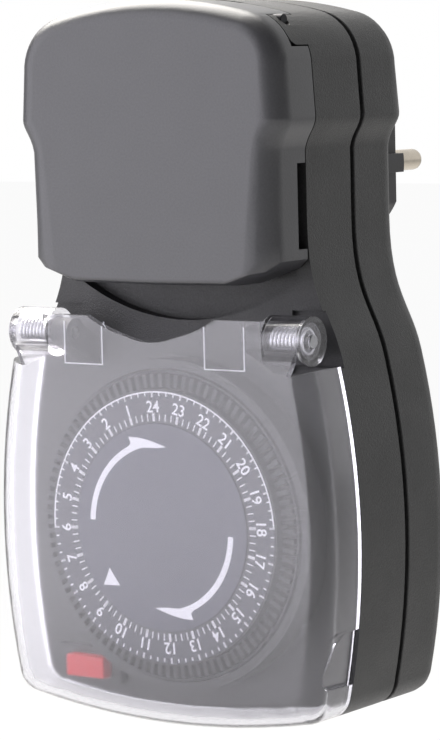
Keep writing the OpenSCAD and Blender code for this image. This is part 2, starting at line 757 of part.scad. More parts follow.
module lid_hollow() {
    base = inset(lid_outer, lid_wall);
    loft(concat([[lid_f - 1, base]], rounding(base, inset(lid_front, lid_wall / 2),
        face_f - lid_wall, lid_round - lid_wall, 3)));
}
module socket_lid() {
    core_x = 12;
    slot_f = part_f + 2;
    side_x = neck_w / 2;
    color("#5C5B60") difference() {
        union() {
            difference() {
                loft(concat([[lid_f, lid_outer]], rounding(lid_outer, lid_front, face_f, lid_round, 5)));
                lid_hollow();
            }
            intersection() {
                difference() {
                    axle(lid_hinge_y, lid_hinge_z, lid_barrel_r, -lid_barrel_x, lid_barrel_x);
                    axle(lid_hinge_y, lid_hinge_z, lid_barrel_r - 1.8, -core_x, core_x);
                }
                case_prism(deck_f - 1, face_f - lid_round);
            }
            difference() {
                post(0, 0, gasket_r + gasket_w, gasket_f, face_f - lid_wall + 0.5);
                post(0, 0, gasket_r, gasket_f - 1, face_f - lid_wall);
            }
        }
        axle(lid_hinge_y, lid_hinge_z, lid_pin_r + run, -lid_barrel_x - 1, lid_barrel_x + 1);
        both_sides() block(lid_barrel_x, step_w / 2 + 1, part_f - 1, lid_ear_f + gap,
            lid_ear_foot - gap, case_top + 1);
        translate([0, 0, notch_top - notch_h]) linear_extrude(notch_h) polygon([
            [side_x - lid_wall - 2, -lid_f + 1], [side_x - lid_wall - 2, -slot_f],
            [side_x - lid_wall / 2, -slot_f], [side_x + 1, -part_f - notch_d],
            [side_x + 4, -part_f - notch_d], [side_x + 4, -lid_f + 1]]);
    }
}
module lid_gasket() {
    color("#101010") difference() {
        post(0, 0, gasket_r + gasket_w, part_f + gap, gasket_f);
        post(0, 0, gasket_r, part_f, gasket_f + 1);
    }
}
module lid_hinge_pin() {
    pin_end = head_w / 2 - 4.7;
    color("#8A8A8A") axle(lid_hinge_y, lid_hinge_z, lid_pin_r, -pin_end, pin_end);
}
module lid_spring() {
    color("silver") coil(lid_hinge_y, lid_hinge_z, lid_pin_r + 1, 0.4, -5, 1.2, 8);
}

/* Clear cover */
cover_dip_r = (pow(cover_dip_x, 2) + pow(cover_dip, 2)) / (2 * cover_dip);
cover_dip_c = [0, cover_dip_r - cover_top - cover_dip];
cover_dip_a = asin(cover_dip_x / cover_dip_r);
// The side walls start just below the barrels
cover_side_top = barrel_z + barrel_r + 0.6;
cover_side = concat([half_at(-cover_side_top)],
    [for (p = case_half) if (p.y < -cover_side_top - 0.3) p]);
cover_top_edge = concat(
    arc(cover_dip_c, cover_dip_r, -90, cover_dip_a - 90, 8),
    [[cover_dip_x, -cover_top], [barrel_x0 + 0.5, -cover_top], [barrel_x0 + 0.5, -barrel_z],
     [barrel_x1, -barrel_z]]);
cover_outer = mirrored(concat(cover_top_edge, cover_side));
cover_rise = 6;
function cover_draw(z) = cover_round * min(1, max(0, (-barrel_z - z) / cover_rise));
cover_draws = [for (p = cover_outer) cover_draw(p.y)];
cover_lip = 0.3;
cover_front = drawn_in(cover_outer, cover_draws);
cover_plate = drawn_in(cover_outer,
    [for (p = cover_outer) cover_draw(p.y) + (p.y < -barrel_z ? cover_lip / 2 : 0)]);
// The part of an outline of the cover that runs down one side and up the other
function cover_run(pts) = let (n = len(cover_top_edge), m = len(cover_side))
    [for (i = [n:n + 2 * m - 2]) pts[i]];

module cover_walls() {
    outer = cover_run(cover_outer);
    inner = cover_run(inset(cover_outer, cover_wall));
    front = cover_run(cover_front);
    rim = cover_run(drawn_in(cover_outer, [for (d = cover_draws) max(d, cover_wall) + cover_lip]));
    hollow = rounding(inner, rim, face_f - cover_wall, cover_round - cover_wall, 3);
    band(concat([[lid_f, outer]], rounding(outer, front, face_f, cover_round, 5),
        [[face_f, rim]], [for (k = [3:-1:0]) hollow[k]], [[lid_f, inner]]), true);
}
module dial_cover() {
    thumb = [[part_f - 1, 0], [part_f + 5.7, 0.3], [part_f + 8.4, 1.8], [part_f + 9.4, 4.5],
        [part_f + 10.8, 8.5], [part_f + 10.5, 10.5], [part_f + 9.4, thumb_h - 0.3],
        [part_f - 1, thumb_h]];
    color("#B8B8C0", 0.45) difference() {
        union() {
            forward(face_f - cover_wall, face_f) polygon(cover_plate);
            cover_walls();
            both_sides() axle(cover_hinge_f, -barrel_z, barrel_r, barrel_x0, barrel_x1);
        }
        both_sides() {
            axle(cover_hinge_f, -barrel_z, barrel_bore_r, barrel_x0 + 0.5, barrel_x1 - 1.3);
            axle(cover_hinge_f, -barrel_z, cover_pin_r + run, barrel_x0 - 1, barrel_x1 + 1);
        }
        intersection() {
            across(barrel_x1, belly_w / 2 + 1)
                polygon([for (p = thumb) [p.x, -thumb_top - p.y]]);
            difference() {
                case_prism(part_f - 2, face_f + 1, -2);
                case_prism(part_f - 3, face_f + 2, thumb_d);
            }
        }
    }
}
module cover_pin(side) {
    x0 = cover_ear_x0 + 0.2;
    x1 = barrel_x1 + 0.3;
    color("#C4C4C8") axle(cover_hinge_f, -barrel_z, cover_pin_r,
        side > 0 ? x0 : -x1, side > 0 ? x1 : -x0);
}
module cover_pin_left() cover_pin(-1);
module cover_pin_right() cover_pin(1);
module cover_spring(x0) {
    color("silver") coil(cover_hinge_f, -barrel_z, cover_pin_r + 1.15, 0.35, x0, 0.95, 7.5);
}
module cover_spring_left() cover_spring(-barrel_x1 + 1.8);
module cover_spring_right() cover_spring(barrel_x0 + 1);

/* Dial */
fin_w = 0.5;
// Outline of a disc with n narrow fins that reach from r0 to r1
function finned(n, r0, r1, w) = [for (i = [0:n - 1]) let (a = 360 * i / n)
    for (q = [[r0, -1], [r1, -1], [r1, 1], [r0, 1]])
        let (b = a + q[1] * asin(w / 2 / q[0])) q[0] * [cos(b), sin(b)]];
module dial_wheel() {
    hub_r = 5;
    fin_f = wheel_f + 1.5;
    color("#2E2E33") difference() {
        union() {
            difference() {
                union() {
                    post(0, -dial_z, drum_r, wheel_f, drum_f);
                    translate([0, 0, -dial_z]) forward(fin_f, fin_f + 4)
                        polygon(finned(tappet_n, drum_r - 0.1, rim_r + 0.1, fin_w));
                }
                post(0, -dial_z, drum_r - drum_wall, wheel_f - 1, drum_f - drum_wall);
            }
            difference() {
                post(0, -dial_z, wheel_r, wheel_f, drum_f - 2);
                post(0, -dial_z, rim_r, wheel_f - 1, drum_f);
            }
            post(0, -dial_z, hub_r, gear_f, drum_f - 0.5);
        }
        post(0, -dial_z, arbor_r + run, gear_f - 1, drum_f + 1);
        post(0, -dial_z, hub_r - 0.8, drum_f - drum_wall + 0.2, drum_f + 1);
    }
}
module number_ring() {
    color("#3C3C44") difference() {
        post(0, -dial_z, ring_r, drum_f, part_f + ring_f);
        post(0, -dial_z, disc_r + 0.1, drum_f - 1, part_f + ring_f + 1);
    }
}
module centre_disc() {
    color("#3C3C44") post(0, -dial_z, disc_r, drum_f, part_f + ring_f + 0.4);
}
module tappet_row(from, count) {
    color("#26262A") for (i = [from:from + count - 1])
        translate([0, 0, -dial_z]) rotate([0, -360 * (i + 0.5) / tappet_n, 0])
            block(drum_r + gap, rim_r - gap, tappet_f, tappet_f + tappet_len,
                -tappet_w / 2, tappet_w / 2);
}
module tappets() tappet_row(tappet_set_n, tappet_n - tappet_set_n);
module set_tappets() tappet_row(0, tappet_set_n);

// Outline of a spur gear with n teeth
function gear(n, m, turn = 0) = let (r = n * m / 2, pitch = 360 / n)
    [for (i = [0:n - 1]) for (q = [[r - 1.15 * m, -0.3], [r + 0.85 * m, -0.11],
            [r + 0.85 * m, 0.11], [r - 1.15 * m, 0.3]])
        let (a = turn + pitch * (i + q[1])) q[0] * [cos(a), sin(a)]];
module dial_gear() {
    hub_r = 5;
    color("#D8D4CA") difference() {
        translate([0, 0, -dial_z]) forward(gear_f, gear_f + gear_t)
            polygon(gear(dial_teeth, dial_module));
        post(0, -dial_z, hub_r + snug, gear_f - 1, gear_f + gear_t + 1);
        for (i = [0:5]) translate([0, 0, -dial_z]) rotate([0, 60 * i, 0])
            post(dial_module * dial_teeth / 3.2, 0, 4, gear_f - 1, gear_f + gear_t + 1);
    }
}
module dial_arbor() {
    color("silver") {
        post(0, -dial_z, arbor_r, plate_f, drum_f - 0.6);
        difference() {
            post(0, -dial_z, arbor_r + 2, plate_front_f, gear_f - gap);
            post(0, -dial_z, arbor_r - 1, plate_front_f - 1, gear_f);
        }
    }
}
module arbor_clip() {
    color("silver") difference() {
        post(0, -dial_z, arbor_r + 1.4, drum_f - 1.2, drum_f - 0.6);
        post(0, -dial_z, arbor_r + snug, drum_f - 2, drum_f);
    }
}

/* Movement */
module movement_plate() {
    color("#A9A9A2") difference() {
        union() {
            intersection() {
                block(-plate_x, plate_x, plate_f, plate_front_f, plate_foot_z, plate_top_z);
                case_prism(plate_f, plate_front_f, wall + gap);
            }
            block(plate_x - 1, lever_x + lever_pin_r + 0.8, plate_f, plate_front_f,
                lever_z - 3, lever_z + 3);
        }
        for (p = screw_places) post(p.x, p.y, boss_r + gap, plate_f - 1, plate_front_f + 1);
        for (p = post_places) post(p.x, p.y, post_screw_r + snug, plate_f - 1, plate_front_f + 1);
        post(0, -dial_z, arbor_r + snug, plate_f - 1, plate_front_f + 1);
        post(0, idler_z, 1.5 + snug, plate_f - 1, plate_front_f + 1);
        post(0, motor_z, 4.5, plate_f - 1, plate_front_f + 1);
        post(lever_x, lever_z, lever_pin_r + snug, plate_f - 1, plate_front_f + 1);
        post(-21, -90, 6, plate_f - 1, plate_front_f + 1);
        post(21, -90, 6, plate_f - 1, plate_front_f + 1);
    }
}
module movement_screws() {
    color("silver") for (p = post_places) {
        post(p.x, p.y, post_screw_r * 2, plate_f - 1.4, plate_f);
        post(p.x, p.y, post_screw_r, plate_f - 0.5, plate_f + 5.5);
    }
}
module idler_wheel() {
    color("#D8D4CA") difference() {
        translate([0, 0, idler_z]) {
            forward(idler_f, idler_f + idler_t)
                polygon(gear(wheel_teeth, idler_module, -90));
            forward(idler_f + idler_t - 0.1, gear_f + gear_t + 0.2)
                polygon(gear(idler_teeth, dial_module));
        }
        post(0, idler_z, 1.5 + run, idler_f - 1, gear_f + gear_t + 1);
        for (i = [0:4]) translate([0, 0, idler_z]) rotate([0, 72 * i, 0])
            post(8.5, 0, 2.4, idler_f - 1, idler_f + idler_t + 1);
    }
}
module idler_arbor() {
    color("silver") post(0, idler_z, 1.5, plate_f, gear_f + gear_t + 0.4);
}
module motor() {
    lug_x = motor_r + 5;
    color("#9A9A92") difference() {
        union() {
            post(0, motor_z, motor_r, plate_f - motor_depth, plate_f);
            block(-lug_x, lug_x, plate_f - 1.2, plate_f, motor_z - 3, motor_z + 3);
        }
        post(0, motor_z, 1 + run, plate_f - 3, plate_f + 1);
    }
}
module motor_pinion() {
    color("#C8B27A") {
        post(0, motor_z, 1, plate_f - 3 + gap, idler_f);
        translate([0, 0, motor_z]) forward(idler_f - 0.3, idler_f + idler_t + 0.2)
            polygon(gear(motor_teeth, idler_module));
    }
}
module motor_leads() {
    r = 0.6;
    back_f = plate_f - motor_depth;
    lead_f = strap_f + strip_t + r;
    x = 10;
    z = motor_z + 11;
    tab_z = -6.2;
    color("#6B3A2A") for (s = [1, -1]) {
        post(s * x, z, r, lead_f, back_f);
        translate([s * x, -lead_f, z]) sphere(r);
    }
    color("#6B3A2A") axle(lead_f, z, r, x, 25.5);
    color("#2A3A6B") {
        translate([-x, -lead_f, z]) cylinder(r = r, h = tab_z - z);
        translate([-x, -lead_f, tab_z]) sphere(r);
        post(-x, tab_z, r, sleeve_end_f, lead_f);
    }
}

/* Switch */
module switch_lever() {
    nose_z = contact_z + 6.2;
    nose_x = sqrt(pow(rim_r + 0.1, 2) - pow(nose_z + dial_z, 2));
    knee_z = contact_z + 1.5;
    end_z = contact_z - 3;
    color("#E0DCD0") difference() {
        union() {
            post(lever_x, lever_z, lever_boss_r, lever_f, lever_f + lever_t);
            forward(lever_f, lever_f + lever_t) polygon([
                [lever_x - lever_w, lever_z], [lever_x + lever_w, lever_z],
                [lever_x + lever_w, contact_z + 8], [foot_x + lever_w, contact_z + 2.5],
                [foot_x + lever_w, end_z], [foot_x - lever_w, end_z],
                [foot_x - lever_w, knee_z], [nose_x, nose_z],
                [lever_x - lever_w, nose_z + 2.8]]);
        }
        post(lever_x, lever_z, lever_pin_r + run, lever_f - 1, lever_f + lever_t + 1);
    }
}
module lever_pivot() {
    color("silver") {
        post(lever_x, lever_z, lever_pin_r, strap_f + strip_t, deck_f - 0.1);
        difference() {
            post(lever_x, lever_z, lever_boss_r - 0.2, plate_front_f, lever_f - gap);
            post(lever_x, lever_z, lever_pin_r - 0.2, plate_front_f - 1, lever_f);
        }
    }
}
module moving_contact() {
    x = lever_x + lever_w;
    x1 = foot_x + lever_w;
    t = spring_strip_t;
    f = lever_f + lever_t / 2;
    color("#C8A27A") {
        forward(lever_f + 0.2, lever_f + lever_t - 0.2) polygon([
            [x, contact_z + 14], [x + t, contact_z + 14], [x + t, contact_z + 8.2],
            [x1 + t, contact_z + 2.7], [x1 + t, contact_z - 2], [x1, contact_z - 2],
            [x1, contact_z + 2.5], [x, contact_z + 8]]);
        axle(f, contact_z, 0.8, x1 + t - 0.1, x1 + t + rivet_h);
    }
}
module fixed_contact() {
    f = lever_f + lever_t / 2;
    color("#C8A27A") {
        block(fixed_x, fixed_x + strip_t, plate_f, lever_f + lever_t, contact_z - 2, contact_z + 2);
        axle(f, contact_z, 0.8, fixed_x - rivet_h, fixed_x + 0.1);
    }
}
module live_bar() {
    x = pin_x - strip_t / 2;
    f1 = strap_f + strip_t;
    color("#C8B27A") {
        block(x, x + strip_t, tail_f, tail_f + 2, -8, pin_r);
        block(x, x + strip_t, tail_f, f1, -8, -5);
        block(x, 27, strap_f, f1, -8, -5);
        block(24, 27, strap_f, f1, lever_z - 2, -5);
        block(24, lever_x + 2, strap_f, f1, lever_z - 2, lever_z + 2);
    }
}
module switched_bar() {
    f1 = switched_f + strip_t;
    color("#C8B27A") difference() {
        union() {
            block(fixed_x, fixed_x + strip_t, switched_f, plate_f, contact_z - 2, contact_z + 2);
            block(19.5, fixed_x + strip_t, switched_f, f1, contact_z - 2, contact_z + 2);
            block(19.5, 22.5, switched_f, f1, contact_z - 2, 2);
            block(pin_x, 22.5, switched_f, f1, -2, 2);
        }
        post(pin_x, 0, sleeve_r + snug, switched_f - 1, f1 + 1);
    }
}
module neutral_bar() {
    x = -pin_x - strip_t / 2;
    color("#C8B27A") {
        block(x, x + strip_t, tail_f, sleeve_end_f, -3, 3);
        block(x - 0.5, x + strip_t, sleeve_end_f - 3, sleeve_end_f, -7, -2.9);
    }
}
module override_slider() {
    x = slider_x;
    z = slider_z;
    foot_t = 1.4;
    foot_f = deck_f - gap - foot_t;
    color("#C01820") {
        block(x - slider_w / 2, x + slider_w / 2, slider_f + gap / 3, slider_f + 3,
            z - slider_h / 2, z + slider_h / 2);
        block(x - stem_w / 2, x + stem_w / 2, foot_f, slider_f + 1, z - stem_h / 2, z + stem_h / 2);
        block(x - stem_w / 2 - 1, x + stem_w / 2 + 1, foot_f, foot_f + foot_t, z - 2.2, z + 2.2);
    }
}

rear_housing();
front_housing();
housing_seal();
housing_screws();
plug_body();
plug_pin_left();
plug_pin_right();
plug_earth_clips();
socket_cup();
socket_seal();
shutter();
contact_carrier();
socket_contact_left();
socket_contact_right();
socket_earth_clips();
earth_strap();
socket_lid();
lid_gasket();
lid_hinge_pin();
lid_spring();
dial_cover();
cover_pin_left();
cover_pin_right();
cover_spring_left();
cover_spring_right();
dial_wheel();
number_ring();
centre_disc();
tappets();
set_tappets();
dial_gear();
dial_arbor();
arbor_clip();
movement_plate();
movement_screws();
idler_wheel();
idler_arbor();
motor();
motor_pinion();
motor_leads();
switch_lever();
lever_pivot();
moving_contact();
fixed_contact();
live_bar();
switched_bar();
neutral_bar();
override_slider();
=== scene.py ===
"""Plug in timer switch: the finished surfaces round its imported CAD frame.

Sizes are in millimetres and places are (x, f, z), where f is the distance in front
of the end face of the plug. Meshes are made in metres, where Y is -f.
"""

import json
import logging
import math
from collections.abc import Sequence
from dataclasses import dataclass, field
from enum import Enum
from typing import Any

import bmesh
import bpy
from mathutils import Matrix, Vector


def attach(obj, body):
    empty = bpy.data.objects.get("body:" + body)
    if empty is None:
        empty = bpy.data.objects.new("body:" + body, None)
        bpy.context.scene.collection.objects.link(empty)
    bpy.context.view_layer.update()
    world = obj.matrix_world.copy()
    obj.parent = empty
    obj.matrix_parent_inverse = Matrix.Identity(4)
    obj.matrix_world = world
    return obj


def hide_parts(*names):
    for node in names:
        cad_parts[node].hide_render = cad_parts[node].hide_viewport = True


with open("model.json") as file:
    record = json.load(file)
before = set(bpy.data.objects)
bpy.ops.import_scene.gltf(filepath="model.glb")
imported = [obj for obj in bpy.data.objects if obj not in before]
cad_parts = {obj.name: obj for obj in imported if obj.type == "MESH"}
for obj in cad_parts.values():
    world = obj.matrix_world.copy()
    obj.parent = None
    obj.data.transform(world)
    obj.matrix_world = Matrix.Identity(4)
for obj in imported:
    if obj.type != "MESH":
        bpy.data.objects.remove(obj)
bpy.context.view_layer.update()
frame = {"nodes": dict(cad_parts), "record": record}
LOG = logging.getLogger("timer_switch")
MM = 0.001
PART_F = 59.0  # the plane where lid and cover part from the front shell
FACE_F = 72.0  # the front face of the lid and the cover
PLASTIC_IOR = 1.5
NOISE_LOW, NOISE_HIGH = 0.3, 0.7  # most of a noise's values lie between these
WELD_MM = 0.002
FLAT_DEG = 0.4  # faces that turn by less than this are one face
PLANE_MM = 0.004  # how far a corner may lie off a plane and still be in it
SHORT_MM = 0.4  # shorter edges of folded triangles are collapsed
FLAT_WEIGHT = 90  # how far large faces rule the shading of their corners
COIL_STEPS = 36  # straight pieces in each turn of a coil
WIRE_SIDES = 10


def linear(code: str) -> tuple[float, float, float, float]:
    """Turns an sRGB hex colour into linear values.

    Args:
        code: The colour, such as "#4A4A4A".

    Returns:
        Linear red, green and blue, and an alpha of 1.
    """
    parts = [int(code[i:i + 2], 16) / 255 for i in (1, 3, 5)]
    r, g, b = [c / 12.92 if c <= 0.04045 else ((c + 0.055) / 1.055) ** 2.4 for c in parts]
    return (r, g, b, 1.0)


def place(x: float, f: float, z: float) -> Vector:
    """Turns a place in millimetres into one in the scene's metres."""
    return Vector((x, -f, z)) * MM


def add_node(
    tree: bpy.types.NodeTree,
    kind: str,
    options: dict[str, Any] | None = None,
    values: dict[Any, Any] | None = None,
    links: dict[Any, bpy.types.NodeSocket] | None = None,
) -> bpy.types.Node:
    """Adds a node with its options, its values and its links.

    Args:
        tree: The tree that takes the node.
        kind: The node's type.
        options: Properties of the node.
        values: Constants for its input sockets, by name or number.
        links: Output sockets that feed its input sockets, by name or number.

    Returns:
        The new node.
    """
    node = tree.nodes.new(kind)
    for name, value in (options or {}).items():
        setattr(node, name, value)
    for key, value in (values or {}).items():
        node.inputs[key].default_value = value
    for key, source in (links or {}).items():
        tree.links.new(source, node.inputs[key])
    return node


# ---------------------------------------------------------------- finishes


@dataclass(frozen=True)
class Finish:
    """What every finish has: a name, a colour and a roughness."""

    name: str
    colour: str
    roughness: float

    def base(self) -> tuple[bpy.types.Material, bpy.types.NodeTree, bpy.types.Node]:
        """Makes an empty material.

        Returns:
            The material, its tree and its output node.
        """
        material = bpy.data.materials.new(self.name)
        material.use_nodes = True
        tree = material.node_tree
        tree.nodes.clear()
        return material, tree, add_node(tree, "ShaderNodeOutputMaterial")

    def noise(self, tree: bpy.types.NodeTree, size_mm: float, detail: float = 2.0,
              stretch: tuple[float, float, float] = (1.0, 1.0, 1.0)) -> bpy.types.Node:
        """Adds noise whose lumps are about size_mm across, on Object coordinates.

        Args:
            tree: The material's tree.
            size_mm: The size of a lump.
            detail: How much finer noise is laid over it.
            stretch: How many times finer the noise is along each axis.

        Returns:
            The noise node.
        """
        coords = add_node(tree, "ShaderNodeTexCoord")
        mapping = add_node(tree, "ShaderNodeMapping", values={"Scale": stretch},
                           links={"Vector": coords.outputs["Object"]})
        return add_node(tree, "ShaderNodeTexNoise",
                        values={"Scale": 1 / (size_mm * MM), "Detail": detail},
                        links={"Vector": mapping.outputs["Vector"]})

    def tinted(self, tree: bpy.types.NodeTree, source: bpy.types.NodeSocket,
               amount: float) -> bpy.types.NodeSocket:
        """Varies the finish's colour by amount with the value at source.

        Args:
            tree: The material's tree.
            source: A value from 0 to 1.
            amount: The share by which the colour gets darker and lighter.

        Returns:
            The socket with the varied colour.
        """
        r, g, b, _ = linear(self.colour)
        ramp = add_node(tree, "ShaderNodeValToRGB", links={"Fac": source})
        ramp.color_ramp.elements[0].position = NOISE_LOW
        ramp.color_ramp.elements[1].position = NOISE_HIGH
        for element, share in zip(ramp.color_ramp.elements, (1 - amount, 1 + amount)):
            element.color = (r * share, g * share, b * share, 1)
        return ramp.outputs["Color"]


@dataclass(frozen=True)
class MouldedPlastic(Finish):
    """Moulded plastic, rubber or screen ink, with the fine grain of its mould or mesh."""

    grain_mm: float = 0.45
    grain_depth_mm: float = 0.02
    mottle: float = 0.06
    specular: float = 0.5
    cloud: float = 0.012
    cloud_mm: float = 9.0

    def material(self) -> bpy.types.Material:
        """Makes the material: grain as bump, and a mottle in colour and sheen.

        Returns:
            The material.
        """
        material, tree, out = self.base()
        grain = self.noise(tree, self.grain_mm, detail=3)
        cloud = self.noise(tree, self.cloud_mm, detail=3)
        sheen = add_node(tree, "ShaderNodeMapRange",
                         values={"From Min": NOISE_LOW, "From Max": NOISE_HIGH,
                                 "To Min": self.roughness - self.cloud,
                                 "To Max": self.roughness + self.cloud},
                         links={"Value": cloud.outputs["Fac"]})
        bump = add_node(tree, "ShaderNodeBump",
                        values={"Strength": 1.0, "Distance": self.grain_depth_mm * MM},
                        links={"Height": grain.outputs["Fac"]})
        shader = add_node(
            tree, "ShaderNodeBsdfPrincipled",
            values={"IOR": PLASTIC_IOR, "Specular IOR Level": self.specular},
            links={
                "Base Color": self.tinted(tree, grain.outputs["Fac"], self.mottle),
                "Roughness": sheen.outputs["Result"],
                "Normal": bump.outputs["Normal"],
            })
        tree.links.new(shader.outputs["BSDF"], out.inputs["Surface"])
        return material


@dataclass(frozen=True)
class Metal(Finish):
    """Drawn, stamped or plated metal, with fine lines along its length."""

    line_mm: float = 0.15
    along: tuple[float, float, float] = (0.05, 1.0, 1.0)
    line_depth_mm: float = 0.008
    line_strength: float = 0.6
    swing: float = 0.06
    stain_mm: float = 3.0
    stain: float = 0.08

    def material(self) -> bpy.types.Material:
        """Makes the material: stretched noise moves its gloss and its surface.

        Returns:
            The material.
        """
        material, tree, out = self.base()
        lines = self.noise(tree, self.line_mm, detail=2, stretch=self.along)
        stain = self.noise(tree, self.stain_mm, detail=3)
        sheen = add_node(tree, "ShaderNodeMapRange",
                         values={"From Min": NOISE_LOW, "From Max": NOISE_HIGH,
                                 "To Min": self.roughness - self.swing,
                                 "To Max": self.roughness + self.swing},
                         links={"Value": lines.outputs["Fac"]})
        bump = add_node(tree, "ShaderNodeBump",
                        values={"Strength": self.line_strength,
                                "Distance": self.line_depth_mm * MM},
                        links={"Height": lines.outputs["Fac"]})
        shader = add_node(
            tree, "ShaderNodeBsdfPrincipled", values={"Metallic": 1.0},
            links={
                "Base Color": self.tinted(tree, stain.outputs["Fac"], self.stain),
                "Roughness": sheen.outputs["Result"],
                "Normal": bump.outputs["Normal"],
            })
        tree.links.new(shader.outputs["BSDF"], out.inputs["Surface"])
        return material


@dataclass(frozen=True)
class FrostedCover(Finish):
    """Clear polycarbonate with a fine frost: what lies close behind it stays sharp."""

    clear: float = 0.8
    gloss: float = 0.3
    frost_mm: float = 0.6
    frost_depth_mm: float = 0.004
    frost_strength: float = 0.12
    swing: float = 0.03
    shadow_tint: tuple[float, float, float, float] = (0.8, 0.8, 0.82, 1)

    def material(self) -> bpy.types.Material:
        """Makes the material: rough transmission, and lamps shine through it.

        Returns:
            The material.
        """
        material, tree, out = self.base()
        frost = self.noise(tree, self.frost_mm, detail=4)
        sheen = add_node(tree, "ShaderNodeMapRange",
                         values={"From Min": NOISE_LOW, "From Max": NOISE_HIGH,
                                 "To Min": self.roughness - self.swing,
                                 "To Max": self.roughness + self.swing},
                         links={"Value": frost.outputs["Fac"]})
        bump = add_node(tree, "ShaderNodeBump",
                        values={"Strength": self.frost_strength,
                                "Distance": self.frost_depth_mm * MM},
                        links={"Height": frost.outputs["Fac"]})
        shader = add_node(
            tree, "ShaderNodeBsdfPrincipled",
            values={"IOR": PLASTIC_IOR, "Specular IOR Level": self.gloss,
                    "Transmission Weight": self.clear, "Base Color": linear(self.colour)},
            links={"Roughness": sheen.outputs["Result"], "Normal": bump.outputs["Normal"]})
        path = add_node(tree, "ShaderNodeLightPath")
        bare = add_node(tree, "ShaderNodeBsdfTransparent", values={"Color": self.shadow_tint})
        mix = add_node(tree, "ShaderNodeMixShader",
                       links={0: path.outputs["Is Shadow Ray"], 1: shader.outputs["BSDF"],
                              2: bare.outputs["BSDF"]})
        tree.links.new(mix.outputs["Shader"], out.inputs["Surface"])
        return material


# Spark-eroded ABS: a soft charcoal sheen broken by a speckle. The real grain is finer
# than the render can show, so it is drawn coarser and deeper than it is.
CASE = MouldedPlastic("grained_abs_charcoal", "#272728", 0.5, grain_mm=0.36,
                      grain_depth_mm=0.14, mottle=0.45, specular=0.66, cloud=0.03)
# Satin ABS: an even grey that takes a broad, soft reflection. Its grain is drawn coarser
# than it is, and so shallow that it only just shows.
LID = MouldedPlastic("satin_abs_grey", "#3D3D41", 0.40, grain_mm=0.45,
                     grain_depth_mm=0.03, mottle=0.12, specular=0.82)
# Moulded polyamide: dull and near black, so that the socket looks deep.
SOCKET = MouldedPlastic("moulded_polyamide_black", "#303032", 0.5, grain_mm=0.4,
                        grain_depth_mm=0.012)
PLUG = MouldedPlastic("moulded_polyamide_plug", "#3A3A3C", 0.5, grain_mm=0.4,
                      grain_depth_mm=0.015)
# Moulded acetal: smooth and a little waxy, with a soft highlight.
DIAL = MouldedPlastic("moulded_acetal_dial", "#17171D", 0.45, grain_mm=0.4,
                      grain_depth_mm=0.006)
TAPPET = MouldedPlastic("moulded_acetal_tappet", "#1E1E22", 0.4, grain_mm=0.3,
                        grain_depth_mm=0.004)
# Undyed acetal: a milky off-white.
GEAR = MouldedPlastic("moulded_acetal_natural", "#D8D4CA", 0.4, grain_mm=0.4,
                      grain_depth_mm=0.004, mottle=0.03)
# Printed label film: a flat, even blue-grey.
DISC = MouldedPlastic("printed_label_grey", "#38384A", 0.4, grain_mm=0.6,
                      grain_depth_mm=0.004, mottle=0.03)
RING = MouldedPlastic("printed_scale_grey", "#33333F", 0.4, grain_mm=0.6,
                      grain_depth_mm=0.004, mottle=0.03)
# Dyed ABS: a clear red with a smooth skin.
SLIDER = MouldedPlastic("moulded_abs_red", "#C8141E", 0.35, grain_mm=0.4,
                        grain_depth_mm=0.004, mottle=0.03)
# PVC insulation: brown, with a dull shine.
LEAD = MouldedPlastic("pvc_lead_insulation", "#6B3A2A", 0.45, grain_mm=0.5,
                      grain_depth_mm=0.004, mottle=0.03)
# Moulded rubber: matt black, which hardly shines at all.
RUBBER = MouldedPlastic("moulded_rubber_black", "#101010", 0.7, grain_mm=0.5,
                        grain_depth_mm=0.01, mottle=0.1, specular=0.3)
# Screen ink: a flat tone with a crisp edge.
DARK_INK = MouldedPlastic("screen_ink_black", "#141416", 0.5, grain_mm=0.3,
                          grain_depth_mm=0.001, mottle=0.01)
WHITE_INK = MouldedPlastic("screen_ink_white", "#F2F2F6", 0.5, grain_mm=0.3,
                           grain_depth_mm=0.001, mottle=0.01)
# Metals: the drawing lines along their length are drawn coarser than they are, and
# stretch the highlight. Nickel is warm and bright, brass yellow, zinc greyer and duller.
NICKEL = Metal("nickel_plated_brass", "#BDB4A6", 0.32)
STEEL = Metal("drawn_steel", "#A8A8AC", 0.3)
BLACK_STEEL = Metal("blackened_steel", "#2A2A2C", 0.4)
SPRING_WIRE = Metal("drawn_spring_steel", "#D6D6DA", 0.25)
ZINC = Metal("zinc_plated_steel", "#B0B0AA", 0.36)
BRASS = Metal("stamped_brass", "#C8B27A", 0.3)
# Frosted polycarbonate: clear close to its back, with a pale veil and bright edges. The
# frost is drawn coarser than it is.
CLEAR = FrostedCover("frosted_polycarbonate", "#F2F1F5", 0.135, clear=0.975)
# A painted highlight in the same plastic: rougher and less clear, so that it shows as a thin pale
# line round each latch tab.
TAB_HIGHLIGHT = FrostedCover("painted_tab_highlight", "#F6F6FA", 0.4, clear=0.45)


class Body(Enum):
    """The moving bodies that pieces ride on."""

    CASE = "case"
    LID = "lid"
    COVER = "cover"
    DIAL = "dial"
    SET_TAPPETS = "set_tappets"
    IDLER = "idler"
    PINION = "pinion"
    SHUTTER = "shutter"
    SLIDER = "slider"
    LEVER = "lever"


class Paints:
    """Makes each finish once, and hands out its material."""

    def __init__(self) -> None:
        """Starts with no materials."""
        self.made: dict[str, bpy.types.Material] = {}

    def get(self, finish: Finish) -> bpy.types.Material:
        """Hands out the material of a finish, made when it is first asked for.

        Args:
            finish: The finish.

        Returns:
            Its material.
        """
        if finish.name not in self.made:
            self.made[finish.name] = finish.material()
        return self.made[finish.name]


# ---------------------------------------------------------------- meshes


